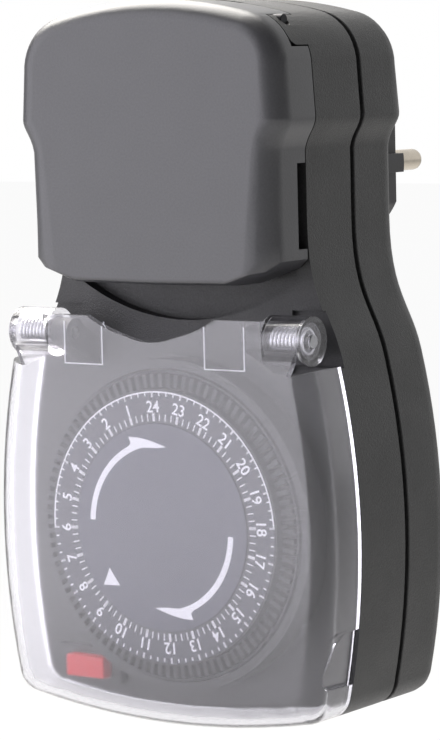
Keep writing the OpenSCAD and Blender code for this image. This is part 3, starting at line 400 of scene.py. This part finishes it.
def new_object(name: str, mesh: bpy.types.Mesh,
               material: bpy.types.Material) -> bpy.types.Object:
    """Makes an object at the origin with one material.

    Args:
        name: The name of the piece.
        mesh: Its mesh, with its place in it.
        material: Its material.

    Returns:
        The object, in the scene.
    """
    piece = bpy.data.objects.new(name, mesh)
    bpy.context.scene.collection.objects.link(piece)
    mesh.materials.clear()
    mesh.materials.append(material)
    return piece


def slab(name: str, outline: list[tuple[float, float]], back: float, front: float,
         material: bpy.types.Material) -> bpy.types.Object:
    """Makes a flat piece from an outline that is seen from the front.

    Args:
        name: The name of the piece.
        outline: Its corners in X and Z, in millimetres.
        back: The depth of its back face.
        front: The depth of its front face.
        material: Its material.

    Returns:
        The piece.
    """
    bm = bmesh.new()
    behind = [bm.verts.new(place(x, back, z)) for x, z in outline]
    ahead = [bm.verts.new(place(x, front, z)) for x, z in outline]
    bm.faces.new(ahead)
    bm.faces.new(list(reversed(behind)))
    for i in range(len(outline)):
        j = (i + 1) % len(outline)
        bm.faces.new((ahead[i], behind[i], behind[j], ahead[j]))
    bmesh.ops.recalc_face_normals(bm, faces=bm.faces)
    mesh = bpy.data.meshes.new(name)
    bm.to_mesh(mesh)
    bm.free()
    return new_object(name, mesh, material)


def settle(piece: bpy.types.Object, body: Body, slot: str, *stands_for: str) -> bpy.types.Object:
    """Puts a finished piece on its body and hides the CAD nodes that it stands for.

    Args:
        piece: The piece, with its place in its mesh.
        body: The body that it rides on.
        slot: The record's material slot. Not used.
        *stands_for: CAD nodes that it replaces.

    Returns:
        The same piece.
    """
    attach(piece, body.value)
    if stands_for:
        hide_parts(*stands_for)
    LOG.info("%s on %s: %d faces", piece.name, body.value, len(piece.data.polygons))
    return piece


@dataclass
class Refined:
    """A cleaned copy of a CAD node: joined, smooth over its curves, with eased edges."""

    node: str
    finish: Finish
    edge_mm: float = 0.25
    smooth_deg: float = 32.0
    segments: int = 2
    border_mm: float = 0.0

    def mesh(self) -> bpy.types.Mesh:
        """Copies the node's mesh, joins its triangles and merges flat ones.

        Returns:
            The cleaned mesh.
        """
        mesh = frame["nodes"][self.node].data.copy()
        mesh.name = self.node + "_skin"
        bm = bmesh.new()
        bm.from_mesh(mesh)
        bmesh.ops.remove_doubles(bm, verts=bm.verts, dist=WELD_MM * MM)
        bmesh.ops.dissolve_degenerate(bm, edges=bm.edges, dist=WELD_MM * MM)
        bmesh.ops.dissolve_limit(bm, angle_limit=math.radians(FLAT_DEG), verts=bm.verts,
                                 edges=bm.edges, use_dissolve_boundaries=False)
        if self.border_mm:
            self.join_front(bm)
        bm.to_mesh(mesh)
        bm.free()
        return mesh

    def join_front(self, bm: bmesh.types.BMesh) -> None:
        """Makes the widest flat face one face with a narrow border, so that it shades flat.

        Args:
            bm: The mesh, which is changed.
        """
        front = max(bm.faces, key=lambda f: f.calc_area())
        out, level = front.normal.copy(), front.calc_center_median().dot(front.normal)

        def flush() -> list[bmesh.types.BMFace]:
            """Returns the faces in the plane of the widest one."""
            return [f for f in bm.faces if all(abs(v.co.dot(out) - level) < PLANE_MM * MM
                                               for v in f.verts)]

        shortest = [min(f.edges, key=lambda e: e.calc_length()) for f in flush()
                    if len(f.verts) == 3]
        bmesh.ops.collapse(bm, edges=[e for e in shortest if e.calc_length() < SHORT_MM * MM])
        joined = bmesh.ops.dissolve_faces(bm, faces=flush())["region"]
        bmesh.ops.inset_individual(bm, faces=joined, thickness=self.border_mm * MM)

    def build(self, paints: Paints, body: Body, slot: str) -> bpy.types.Object:
        """Makes the piece and puts it in the node's place.

        Args:
            paints: The materials.
            body: The body that it rides on.
            slot: The record's material slot.

        Returns:
            The piece.
        """
        mesh = self.mesh()
        piece = new_object(self.node + "_shell", mesh, paints.get(self.finish))
        for polygon in mesh.polygons:
            polygon.use_smooth = True
        mesh.set_sharp_from_angle(angle=math.radians(self.smooth_deg))
        if self.edge_mm:
            bevel = piece.modifiers.new("eased_edges", "BEVEL")
            bevel.width = self.edge_mm * MM
            bevel.segments = self.segments
            bevel.limit_method = "ANGLE"
            bevel.angle_limit = math.radians(self.smooth_deg)
            bevel.use_clamp_overlap = True
        flat = piece.modifiers.new("flat_faces_stay_flat", "WEIGHTED_NORMAL")
        flat.keep_sharp = True
        flat.weight = FLAT_WEIGHT
        return settle(piece, body, slot, self.node)


# ------------------------------------------------------- geometry node trees


@dataclass
class NodeTree:
    """A geometry node tree with named inputs, which ends in real, painted faces."""

    name: str
    inputs: dict[str, tuple[str, Any]]
    tree: bpy.types.NodeTree = field(init=False)
    entry: bpy.types.Node = field(init=False)

    def __post_init__(self) -> None:
        """Makes the tree's sockets and its first node."""
        self.tree = bpy.data.node_groups.new(self.name, "GeometryNodeTree")
        self.tree.interface.new_socket("Geometry", in_out="OUTPUT",
                                       socket_type="NodeSocketGeometry")
        sockets = {**self.inputs, "Material": ("NodeSocketMaterial", None)}
        for label, (kind, value) in sockets.items():
            socket = self.tree.interface.new_socket(label, in_out="INPUT", socket_type=kind)
            if value is not None:
                socket.default_value = value
        self.entry = add_node(self.tree, "NodeGroupInput")

    def value(self, label: str) -> bpy.types.NodeSocket:
        """Returns the socket of a named input."""
        return self.entry.outputs[label]

    def close(self, geometry: bpy.types.NodeSocket) -> None:
        """Ends the tree with realized instances and the material.

        Args:
            geometry: The socket with the finished shape.
        """
        real = add_node(self.tree, "GeometryNodeRealizeInstances", links={"Geometry": geometry})
        paint = add_node(self.tree, "GeometryNodeSetMaterial",
                         links={"Geometry": real.outputs[0], "Material": self.value("Material")})
        add_node(self.tree, "NodeGroupOutput", links={"Geometry": paint.outputs[0]})

    def bake(self, name: str, settings: dict[str, Any],
             material: bpy.types.Material) -> bpy.types.Object:
        """Runs the tree with these settings and keeps the plain mesh.

        Args:
            name: The name of the piece.
            settings: Values for the named inputs.
            material: The piece's material.

        Returns:
            An object at the origin with the finished mesh and no modifier.
        """
        host = bpy.data.objects.new(name + "_host", bpy.data.meshes.new(name + "_host"))
        bpy.context.scene.collection.objects.link(host)
        modifier = host.modifiers.new(self.name, "NODES")
        modifier.node_group = self.tree
        given = {**settings, "Material": material}
        for item in self.tree.interface.items_tree:
            if item.in_out == "INPUT":
                modifier[item.identifier] = given[item.name]
        graph = bpy.context.evaluated_depsgraph_get()
        mesh = bpy.data.meshes.new_from_object(host.evaluated_get(graph))
        bpy.data.objects.remove(host)
        mesh.name = name
        return new_object(name, mesh, material)


def ring_of_blocks() -> NodeTree:
    """Makes the tree that sets small blocks round a circle in the dial's plane.

    Returns:
        The tree, whose angles are in degrees and whose sizes are in millimetres.
    """
    made = NodeTree("ring_of_blocks", {
        "Count": ("NodeSocketInt", 96), "Radius": ("NodeSocketFloat", 30.0),
        "Start": ("NodeSocketFloat", 0.0), "Step": ("NodeSocketFloat", 3.75),
        "Length": ("NodeSocketFloat", 1.0), "Width": ("NodeSocketFloat", 0.3),
        "Depth": ("NodeSocketFloat", 0.1), "Front": ("NodeSocketFloat", 0.0),
        "Height": ("NodeSocketFloat", 0.0)})
    tree = made.tree
    index = add_node(tree, "GeometryNodeInputIndex")
    swept = add_node(tree, "ShaderNodeMath", {"operation": "MULTIPLY"},
                     links={0: index.outputs[0], 1: made.value("Step")})
    degrees = add_node(tree, "ShaderNodeMath", {"operation": "ADD"},
                       links={0: made.value("Start"), 1: swept.outputs[0]})
    angle = add_node(tree, "ShaderNodeMath", {"operation": "RADIANS"},
                     links={0: degrees.outputs[0]})
    across, up = (add_node(tree, "ShaderNodeMath", {"operation": wave},
                           links={0: angle.outputs[0]}) for wave in ("COSINE", "SINE"))
    spoke = add_node(tree, "ShaderNodeCombineXYZ",
                     links={"X": across.outputs[0], "Z": up.outputs[0]})
    far = add_node(tree, "ShaderNodeMath", {"operation": "MULTIPLY"}, values={1: MM},
                   links={0: made.value("Radius")})
    rim = add_node(tree, "ShaderNodeVectorMath", {"operation": "SCALE"},
                   links={0: spoke.outputs[0], "Scale": far.outputs[0]})
    middle = add_node(tree, "ShaderNodeCombineXYZ",
                      links={"Y": made.value("Front"), "Z": made.value("Height")})
    centre = add_node(tree, "ShaderNodeVectorMath", {"operation": "MULTIPLY"},
                      values={1: (MM, -MM, MM)}, links={0: middle.outputs[0]})
    spot = add_node(tree, "ShaderNodeVectorMath", {"operation": "ADD"},
                    links={0: rim.outputs[0], 1: centre.outputs[0]})
    back = add_node(tree, "ShaderNodeMath", {"operation": "MULTIPLY"}, values={1: -1.0},
                    links={0: angle.outputs[0]})
    turn = add_node(tree, "ShaderNodeCombineXYZ", links={"Y": back.outputs[0]})
    sides = add_node(tree, "ShaderNodeCombineXYZ", links={
        "X": made.value("Length"), "Y": made.value("Depth"), "Z": made.value("Width")})
    size = add_node(tree, "ShaderNodeVectorMath", {"operation": "SCALE"},
                    values={"Scale": MM}, links={0: sides.outputs[0]})
    block = add_node(tree, "GeometryNodeMeshCube", links={"Size": size.outputs[0]})
    points = add_node(tree, "GeometryNodePoints",
                      links={"Count": made.value("Count"), "Position": spot.outputs[0]})
    copies = add_node(tree, "GeometryNodeInstanceOnPoints", links={
        "Points": points.outputs[0], "Instance": block.outputs["Mesh"],
        "Rotation": turn.outputs[0]})
    made.close(copies.outputs[0])
    return made


def coil_tree() -> NodeTree:
    """Makes the tree that winds a coil spring on an axis parallel to X.

    Returns:
        The tree, whose sizes are in millimetres.
    """
    made = NodeTree("coil_spring", {
        "Turns": ("NodeSocketFloat", 8.0), "Radius": ("NodeSocketFloat", 2.6),
        "Wire": ("NodeSocketFloat", 0.35), "Length": ("NodeSocketFloat", 7.0),
        "Middle": ("NodeSocketVector", (0.0, 0.0, 0.0))})
    tree = made.tree
    metres = {label: add_node(tree, "ShaderNodeMath", {"operation": "MULTIPLY"},
                              values={1: MM}, links={0: made.value(label)}).outputs[0]
              for label in ("Radius", "Wire", "Length")}
    coil = add_node(tree, "GeometryNodeCurveSpiral", values={"Resolution": COIL_STEPS}, links={
        "Rotations": made.value("Turns"), "Start Radius": metres["Radius"],
        "End Radius": metres["Radius"], "Height": metres["Length"]})
    laid = add_node(tree, "GeometryNodeTransform", values={"Rotation": (0, math.pi / 2, 0)},
                    links={"Geometry": coil.outputs[0], "Translation": made.value("Middle")})
    wire = add_node(tree, "GeometryNodeCurvePrimitiveCircle",
                    values={"Resolution": WIRE_SIDES}, links={"Radius": metres["Wire"]})
    tube = add_node(tree, "GeometryNodeCurveToMesh", values={"Fill Caps": True},
                    links={"Curve": laid.outputs[0], "Profile Curve": wire.outputs[0]})
    smooth = add_node(tree, "GeometryNodeSetShadeSmooth", links={"Geometry": tube.outputs[0]})
    made.close(smooth.outputs[0])
    return made


# ---------------------------------------------------------------- assemblies


@dataclass
class CaseShells:
    """The two shells, their seal and what is fixed in them."""

    edge_mm: float = 0.3

    def build(self, paints: Paints) -> None:
        """Builds the shells, the plug and the socket.

        Args:
            paints: The materials.
        """
        for shell in ("rear_housing", "front_housing"):
            Refined(shell, CASE, edge_mm=self.edge_mm).build(paints, Body.CASE, "case_plastic")
        Refined("housing_seal", RUBBER, edge_mm=0).build(paints, Body.CASE, "seal_rubber")
        Refined("housing_screws", ZINC, edge_mm=0.1).build(paints, Body.CASE, "screw_steel")
        Refined("plug_body", PLUG, edge_mm=0.4).build(paints, Body.CASE, "plug_plastic")
        Refined("socket_cup", SOCKET, edge_mm=0.25).build(paints, Body.CASE, "socket_plastic")
        for side in ("left", "right"):
            Refined("plug_pin_" + side, NICKEL, edge_mm=0).build(paints, Body.CASE, "pin_nickel")
        Refined("plug_earth_clips", BRASS, edge_mm=0.1).build(paints, Body.CASE, "contact_brass")


@dataclass
class Lid:
    """The sprung lid over the socket."""

    edge_mm: float = 0.3
    smooth_deg: float = 36
    border_mm: float = 0.5

    def build(self, paints: Paints) -> None:
        """Builds the lid, its gasket, its pin and its spring.

        Args:
            paints: The materials.
        """
        lid = Refined("socket_lid", LID, edge_mm=self.edge_mm, smooth_deg=self.smooth_deg,
                      border_mm=self.border_mm)
        lid.build(paints, Body.LID, "lid_plastic")
        Refined("lid_gasket", RUBBER, edge_mm=0.15).build(paints, Body.LID, "seal_rubber")
        Refined("lid_hinge_pin", BLACK_STEEL, edge_mm=0.1).build(paints, Body.CASE, "pin_steel")
        Refined("lid_spring", BLACK_STEEL, edge_mm=0).build(paints, Body.CASE, "spring_steel")


@dataclass
class Cover:
    """The clear cover, its two hinge pins and the springs in its barrels."""

    edge_mm: float = 0.25
    smooth_deg: float = 36
    axis_f: float = 66.86
    axis_z: float = -33.8
    barrel_x: float = 33.1
    coil_r: float = 2.6
    wire_r: float = 0.38
    turns: float = 7.5
    coil_length: float = 7.0
    wall: float = 1.8
    inner_f: float = FACE_F - wall
    tab_x: tuple[float, float] = (13.3, 23.7)
    tab_z: tuple[float, float] = (-40.2, -31.0)
    tab_line: float = 0.28
    tab_proud: float = 0.12
    tab_sunk: float = 0.02

    def tab_lines(self, paints: Paints) -> None:
        """Draws a painted highlight, thin pale lines round the two latch tabs, on the inside of the
        cover.

        Args:
            paints: The materials.
        """
        x0, x1 = self.tab_x
        low, high = self.tab_z
        w = self.tab_line
        frame_line = [(x0, high), (x0, low), (x1, low), (x1, high), (x1 - w, high),
                      (x1 - w, low + w), (x0 + w, low + w), (x0 + w, high)]
        for side, sign in (("left", -1), ("right", 1)):
            # Painted highlight: a thin pale frame round each latch tab.
            line = slab("cover_tab_highlight_" + side, [(sign * x, z) for x, z in frame_line],
                        self.inner_f - self.tab_proud, self.inner_f + self.tab_sunk,
                        paints.get(TAB_HIGHLIGHT))
            settle(line, Body.COVER, "clear_plastic")

    def build(self, paints: Paints) -> None:
        """Builds the cover, and winds both springs.

        Args:
            paints: The materials.
        """
        cover = Refined("dial_cover", CLEAR, edge_mm=self.edge_mm, smooth_deg=self.smooth_deg)
        cover.build(paints, Body.COVER, "clear_plastic")
        self.tab_lines(paints)
        winder = coil_tree()
        for side, sign in (("left", -1), ("right", 1)):
            Refined("cover_pin_" + side, STEEL, edge_mm=0.2).build(paints, Body.CASE, "pin_steel")
            x0 = sign * self.barrel_x - self.coil_length / 2
            spring = winder.bake("cover_spring_wire_" + side, {
                "Turns": self.turns, "Radius": self.coil_r, "Wire": self.wire_r,
                "Length": self.coil_length,
                "Middle": tuple(place(x0, self.axis_f, self.axis_z))}, paints.get(SPRING_WIRE))
            settle(spring, Body.CASE, "spring_steel", "cover_spring_" + side)


@dataclass(frozen=True)
class TickRow:
    """A printed row of ticks: how many, at which radius, and how long and wide."""

    name: str
    count: int
    radius: float
    length: float
    width: float


@dataclass
class Dial:
    """The 24 hour dial: its wheel, its printed scale and disc, and its tappets."""

    z: float = -74.5
    ring_f: float = PART_F + 9.5
    disc_f: float = PART_F + 9.9
    turn_deg: float = 93.5
    hours: int = 24
    quarters: int = 96
    tick_rows: tuple[TickRow, ...] = (
        TickRow("inner_hour_ticks", hours, 23.55, length=1.75, width=0.62),
        TickRow("inner_quarter_ticks", quarters, 23.55, length=1.55, width=0.22),
        TickRow("outer_hour_ticks", hours, 28.5, length=1.25, width=0.42),
        TickRow("outer_quarter_ticks", quarters, 28.5, length=0.85, width=0.26))
    digit_r: float = 25.7
    digit_mm: float = 3.5
    digit_bold_mm: float = 0.05
    digit_narrow: float = 0.98
    digit_steps: int = 4
    ink_mm: float = 0.05
    ink_lift: float = ink_mm / 3
    arc_r: float = 28.95
    arc_w: float = 0.32
    arc_half_deg: float = 90
    arc_steps: int = 72
    disc_line: tuple[float, float] = (22.2, 22.6)
    scale_line: tuple[float, float] = (29.35, 29.6)
    arrow_r: float = 18.15
    arrow_half: float = 0.68
    arrow_tail_deg: float = 178.0
    arrow_inner_deg: float = 104.0
    arrow_outer_deg: float = 116.0
    arrow_steps: int = 22
    arrow_head: tuple[tuple[float, float], ...] = (
        (-1.0, 17.0), (2.0, 17.35), (-2.5, 18.6), (-5.4, 19.05), (-8.0, 19.1), (-7.4, 17.75))
    pointer: tuple[tuple[float, float], ...] = ((-14.0, -9.6), (-11.3, -13.2), (-15.7, -13.4))

    def ticks(self, paints: Paints, blocks: NodeTree) -> None:
        """Prints the hour and quarter-hour ticks on both edges of the scale.

        Args:
            paints: The materials.
            blocks: The tree that sets blocks round a circle.
        """
        for ticks in self.tick_rows:
            row = blocks.bake(ticks.name, {
                "Count": ticks.count, "Radius": ticks.radius, "Start": self.turn_deg,
                "Step": 360 / ticks.count, "Length": ticks.length, "Width": ticks.width,
                "Depth": self.ink_mm, "Front": self.ring_f + self.ink_lift,
                "Height": self.z}, paints.get(WHITE_INK))
            settle(row, Body.DIAL, "label_plastic")

    def numerals(self, paints: Paints) -> None:
        """Prints the hours 1 to 24, each upright towards the rim.

        Args:
            paints: The materials.
        """
        parts = bmesh.new()
        for hour in range(1, self.hours + 1):
            curve = bpy.data.curves.new("digit", "FONT")
            curve.body = str(hour)
            curve.size = self.digit_mm * MM
            curve.offset = self.digit_bold_mm * MM
            curve.extrude = self.ink_mm * MM / 2
            curve.align_x, curve.align_y = "CENTER", "CENTER"
            curve.resolution_u = self.digit_steps
            text = bpy.data.objects.new("digit", curve)
            bpy.context.scene.collection.objects.link(text)
            graph = bpy.context.evaluated_depsgraph_get()
            mesh = bpy.data.meshes.new_from_object(text.evaluated_get(graph))
            bpy.data.objects.remove(text)
            angle = math.radians(self.turn_deg + hour * 360 / self.hours)
            spin = Matrix.Rotation(math.pi / 2 - angle, 4, "Y")
            stand = Matrix.Rotation(math.pi / 2, 4, "X") @ Matrix.Diagonal(
                (self.digit_narrow, 1.0, 1.0, 1.0))
            centre = place(self.digit_r * math.cos(angle), self.ring_f + self.ink_lift,
                           self.z + self.digit_r * math.sin(angle))
            mesh.transform(Matrix.Translation(centre) @ spin @ stand)
            parts.from_mesh(mesh)
        mesh = bpy.data.meshes.new("hour_numerals")
        parts.to_mesh(mesh)
        parts.free()
        numerals = new_object("hour_numerals", mesh, paints.get(WHITE_INK))
        settle(numerals, Body.DIAL, "label_plastic")

    def printed(self, name: str, outline: Sequence[tuple[float, float]], front: float,
                paints: Paints) -> None:
        """Prints a flat shape, given as places round the dial's centre.

        Args:
            name: The name of the piece.
            outline: Its corners in X and Z, in millimetres.
            front: The depth of the surface that it is printed on.
            paints: The materials.
        """
        moved = [(x, self.z + z) for x, z in outline]
        half = self.ink_mm / 2
        settle(slab(name, moved, front - half, front + half, paints.get(WHITE_INK)), Body.DIAL,
               "label_plastic")

    def arc(self, radius: float, start: float, end: float,
            steps: int) -> list[tuple[float, float]]:
        """Returns places along an arc round the dial's centre, in degrees from +X."""
        turns = [math.radians(start + (end - start) * i / steps) for i in range(steps + 1)]
        return [(radius * math.cos(a), radius * math.sin(a)) for a in turns]

    def ring_line(self, name: str, low: float, high: float, front: float, finish: Finish,
                  paints: Paints) -> None:
        """Prints a closed ring round the dial's centre.

        Args:
            name: The name of the piece.
            low: Its inner radius.
            high: Its outer radius.
            front: The depth of the surface that it is printed on.
            finish: Its ink.
            paints: The materials.
        """
        bm = bmesh.new()
        loops = []
        half = self.ink_mm / 2
        for radius, lift in ((low, -half), (low, half), (high, half), (high, -half)):
            turn = self.arc(radius, 0, 360, 2 * self.quarters)[:-1]
            loops.append([bm.verts.new(place(x, front + lift, self.z + z)) for x, z in turn])
        for one, two in zip(loops, loops[1:] + loops[:1]):
            for i in range(len(one)):
                j = (i + 1) % len(one)
                bm.faces.new((one[i], one[j], two[j], two[i]))
        bmesh.ops.recalc_face_normals(bm, faces=bm.faces)
        mesh = bpy.data.meshes.new(name)
        bm.to_mesh(mesh)
        bm.free()
        settle(new_object(name, mesh, paints.get(finish)), Body.DIAL, "label_plastic")

    def day_arc(self, paints: Paints) -> None:
        """Prints the arc round the upper half of the scale, with its two ends.

        Args:
            paints: The materials.
        """
        low, high = self.turn_deg - self.arc_half_deg, self.turn_deg + self.arc_half_deg
        outer = self.arc(self.arc_r + self.arc_w / 2, low, high, self.arc_steps)
        inner = self.arc(self.arc_r - self.arc_w / 2, high, low, self.arc_steps)
        self.printed("day_arc", outer + inner, self.ring_f, paints)

    def arrow(self, name: str, flip: int, paints: Paints) -> None:
        """Prints one of the two turning arrows on the centre disc.

        Args:
            name: The name of the piece.
            flip: 1 for the upper arrow and -1 for the lower one.
            paints: The materials.
        """
        inner = self.arc(self.arrow_r - self.arrow_half, self.arrow_tail_deg,
                         self.arrow_inner_deg, self.arrow_steps)
        outer = self.arc(self.arrow_r + self.arrow_half, self.arrow_outer_deg,
                         self.arrow_tail_deg, self.arrow_steps)
        shape = inner + list(self.arrow_head) + outer
        self.printed(name, [(flip * x, flip * z) for x, z in shape], self.disc_f, paints)

    def build(self, paints: Paints) -> None:
        """Builds the wheel, then the scale, the disc and the tappets on it.

        Args:
            paints: The materials.
        """
        blocks = ring_of_blocks()
        Refined("dial_wheel", DIAL, edge_mm=0.12).build(paints, Body.DIAL, "dial_plastic")
        Refined("number_ring", RING, edge_mm=0.08).build(paints, Body.DIAL, "label_plastic")
        Refined("centre_disc", DISC, edge_mm=0.15).build(paints, Body.DIAL, "label_plastic")
        self.ticks(paints, blocks)
        self.numerals(paints)
        self.day_arc(paints)
        self.ring_line("disc_edge_line", *self.disc_line, self.ring_f, DARK_INK, paints)
        self.ring_line("scale_edge_line", *self.scale_line, self.ring_f, DARK_INK, paints)
        self.arrow("upper_arrow", 1, paints)
        self.arrow("lower_arrow", -1, paints)
        self.printed("pointer_triangle", self.pointer, self.disc_f, paints)
        Refined("tappets", TAPPET, edge_mm=0.1).build(paints, Body.DIAL, "tappet_plastic")
        pushed = Refined("set_tappets", TAPPET, edge_mm=0.1)
        pushed.build(paints, Body.SET_TAPPETS, "tappet_plastic")


@dataclass
class Works:
    """The override slider, and the inner CAD nodes, which only need a finish."""

    finishes: dict[str, Finish] = field(default_factory=lambda: {
        "seal_rubber": RUBBER, "inner_plastic": GEAR, "contact_brass": BRASS,
        "pin_steel": STEEL, "spring_steel": SPRING_WIRE, "plate_steel": ZINC,
        "screw_steel": ZINC, "motor_steel": ZINC, "lead_plastic": LEAD})

    def build(self, paints: Paints) -> None:
        """Builds the slider, and gives each CAD node that still shows its slot's finish.

        Args:
            paints: The materials.
        """
        Refined("override_slider", SLIDER, edge_mm=0.3).build(paints, Body.SLIDER, "slider_plastic")
        slots = {s["node"]: s["material_slot"] for s in frame["record"]["subparts"]}
        for name, node in frame["nodes"].items():
            if node.hide_render:
                continue
            node.data.materials.clear()
            node.data.materials.append(paints.get(self.finishes[slots[name]]))
            LOG.info("%s keeps its CAD shape", name)


@dataclass(frozen=True)
class Lamp:
    """A square soft lamp: its place in mm, its side in metres and its power in watts."""

    name: str
    spot: tuple[float, float, float]
    size: float
    power: float
    colour: tuple[float, float, float]


@dataclass
class Studio:
    """The camera, the lamps, the world and the floor."""

    spot: tuple[float, float, float] = (392.77, 591.19, 24.39)
    ahead: tuple[float, float, float] = (-0.58220, 0.80688, -0.09991)
    azimuth: float = 35.81
    roll: float = 1.39
    focal_px: float = 3112.0
    frame_px: float = 740.0
    sensor_mm: float = 36.0
    floor_z: float = -300.0
    world_level: float = 0.22
    paper_glow: float = 0.95
    paper_gloss: float = 0.45
    paper: str = "#F4F4F4"
    floor_half_m: float = 6.0
    clip_m: tuple[float, float] = (0.05, 20)
    aim: tuple[float, float, float] = (0, 40, -40)
    white_from: float = 0.25
    white_to: float = 0.8
    lamps: tuple[Lamp, ...] = (
        Lamp("key", (-740, 780, 60), 1.2, 10.1, (0.98, 0.96, 1.04)),
        Lamp("top", (-580, -200, 780), 0.9, 24, (1.0, 0.97, 0.92)))

    def camera(self) -> None:
        """Makes the camera for a frame of 440 by 740."""
        data = bpy.data.cameras.new("view")
        data.sensor_width = self.sensor_mm
        data.lens = self.focal_px / self.frame_px * self.sensor_mm
        data.clip_start, data.clip_end = self.clip_m
        camera = bpy.data.objects.new("view", data)
        bpy.context.scene.collection.objects.link(camera)
        turn = math.radians(self.azimuth)
        ahead = Vector(self.ahead).normalized()
        level = Vector((math.cos(turn), math.sin(turn), 0))
        above = level.cross(ahead)
        lean = math.radians(self.roll)
        right = level * math.cos(lean) - above * math.sin(lean)
        up = above * math.cos(lean) + level * math.sin(lean)
        axes = Matrix((right, up, -ahead)).transposed().to_4x4()
        camera.matrix_world = Matrix.Translation(place(*self.spot)) @ axes
        bpy.context.scene.camera = camera

    def light(self, lamp: Lamp) -> None:
        """Adds a lamp that faces the middle of the object.

        Args:
            lamp: The lamp's place, size, power and colour.
        """
        data = bpy.data.lights.new(lamp.name, "AREA")
        data.size, data.energy, data.color = lamp.size, lamp.power, lamp.colour
        body = bpy.data.objects.new(lamp.name, data)
        bpy.context.scene.collection.objects.link(body)
        body.location = place(*lamp.spot)
        ahead = place(*self.aim) - body.location
        body.rotation_euler = ahead.to_track_quat("-Z", "Y").to_euler()

    def world(self) -> None:
        """Makes a world that looks white and lights the object softly.

        Glossy rays see white only towards the back, so that the front stays dark.
        """
        world = bpy.data.worlds.new("studio")
        bpy.context.scene.world = world
        world.use_nodes = True
        tree = world.node_tree
        tree.nodes.clear()
        path = add_node(tree, "ShaderNodeLightPath")
        coords = add_node(tree, "ShaderNodeTexCoord")
        axes = add_node(tree, "ShaderNodeSeparateXYZ", links={0: coords.outputs["Generated"]})
        behind = add_node(tree, "ShaderNodeMapRange", {"interpolation_type": "SMOOTHSTEP"},
                          {"From Min": self.white_from, "From Max": self.white_to},
                          {"Value": axes.outputs["Y"]})
        gloss = add_node(tree, "ShaderNodeMath", {"operation": "MULTIPLY"},
                         links={0: path.outputs["Is Glossy Ray"], 1: behind.outputs["Result"]})
        seen = add_node(tree, "ShaderNodeMath", {"operation": "MAXIMUM"},
                        links={0: path.outputs["Is Camera Ray"],
                               1: path.outputs["Is Transmission Ray"]})
        white = add_node(tree, "ShaderNodeMath", {"operation": "MAXIMUM"},
                         links={0: seen.outputs[0], 1: gloss.outputs[0]})
        level = add_node(tree, "ShaderNodeMapRange",
                         values={"To Min": self.world_level, "To Max": 1.0},
                         links={"Value": white.outputs[0]})
        light = add_node(tree, "ShaderNodeBackground", values={"Color": (1, 1, 1, 1)},
                         links={"Strength": level.outputs["Result"]})
        add_node(tree, "ShaderNodeOutputWorld", links={"Surface": light.outputs[0]})

    def floor(self) -> None:
        """Lays a pale floor that looks white to the camera and keeps a soft shadow."""
        bm = bmesh.new()
        bmesh.ops.create_grid(bm, x_segments=1, y_segments=1, size=self.floor_half_m)
        bmesh.ops.translate(bm, verts=bm.verts, vec=(0, 0, self.floor_z * MM))
        mesh = bpy.data.meshes.new("floor")
        bm.to_mesh(mesh)
        bm.free()
        material = bpy.data.materials.new("pale_backdrop_paper")
        material.use_nodes = True
        tree = material.node_tree
        tree.nodes.clear()
        path = add_node(tree, "ShaderNodeLightPath")
        gloss = add_node(tree, "ShaderNodeMath", {"operation": "MULTIPLY"},
                         values={1: self.paper_gloss}, links={0: path.outputs["Is Glossy Ray"]})
        seen = gloss.outputs[0]
        for kind in ("Is Camera Ray", "Is Transmission Ray"):
            seen = add_node(tree, "ShaderNodeMath", {"operation": "MAXIMUM"},
                            links={0: seen, 1: path.outputs[kind]}).outputs[0]
        share = add_node(tree, "ShaderNodeMath", {"operation": "MULTIPLY"},
                         values={1: self.paper_glow}, links={0: seen})
        paper = add_node(tree, "ShaderNodeBsdfDiffuse", values={"Color": linear(self.paper)})
        glow = add_node(tree, "ShaderNodeEmission", values={"Strength": 1.0})
        mix = add_node(tree, "ShaderNodeMixShader",
                       links={0: share.outputs[0], 1: paper.outputs[0], 2: glow.outputs[0]})
        add_node(tree, "ShaderNodeOutputMaterial", links={"Surface": mix.outputs[0]})
        new_object("floor", mesh, material)

    def build(self) -> None:
        """Sets up the whole studio."""
        self.camera()
        self.world()
        self.floor()
        for lamp in self.lamps:
            self.light(lamp)
        bpy.context.scene.view_settings.view_transform = "Standard"


def main() -> None:
    """Builds the object and the studio."""
    logging.basicConfig(level=logging.INFO, format="%(message)s")
    paints = Paints()
    Studio().build()
    CaseShells().build(paints)
    Lid().build(paints)
    Cover().build(paints)
    Dial().build(paints)
    Works().build(paints)


if __name__ == "__main__":
    main()
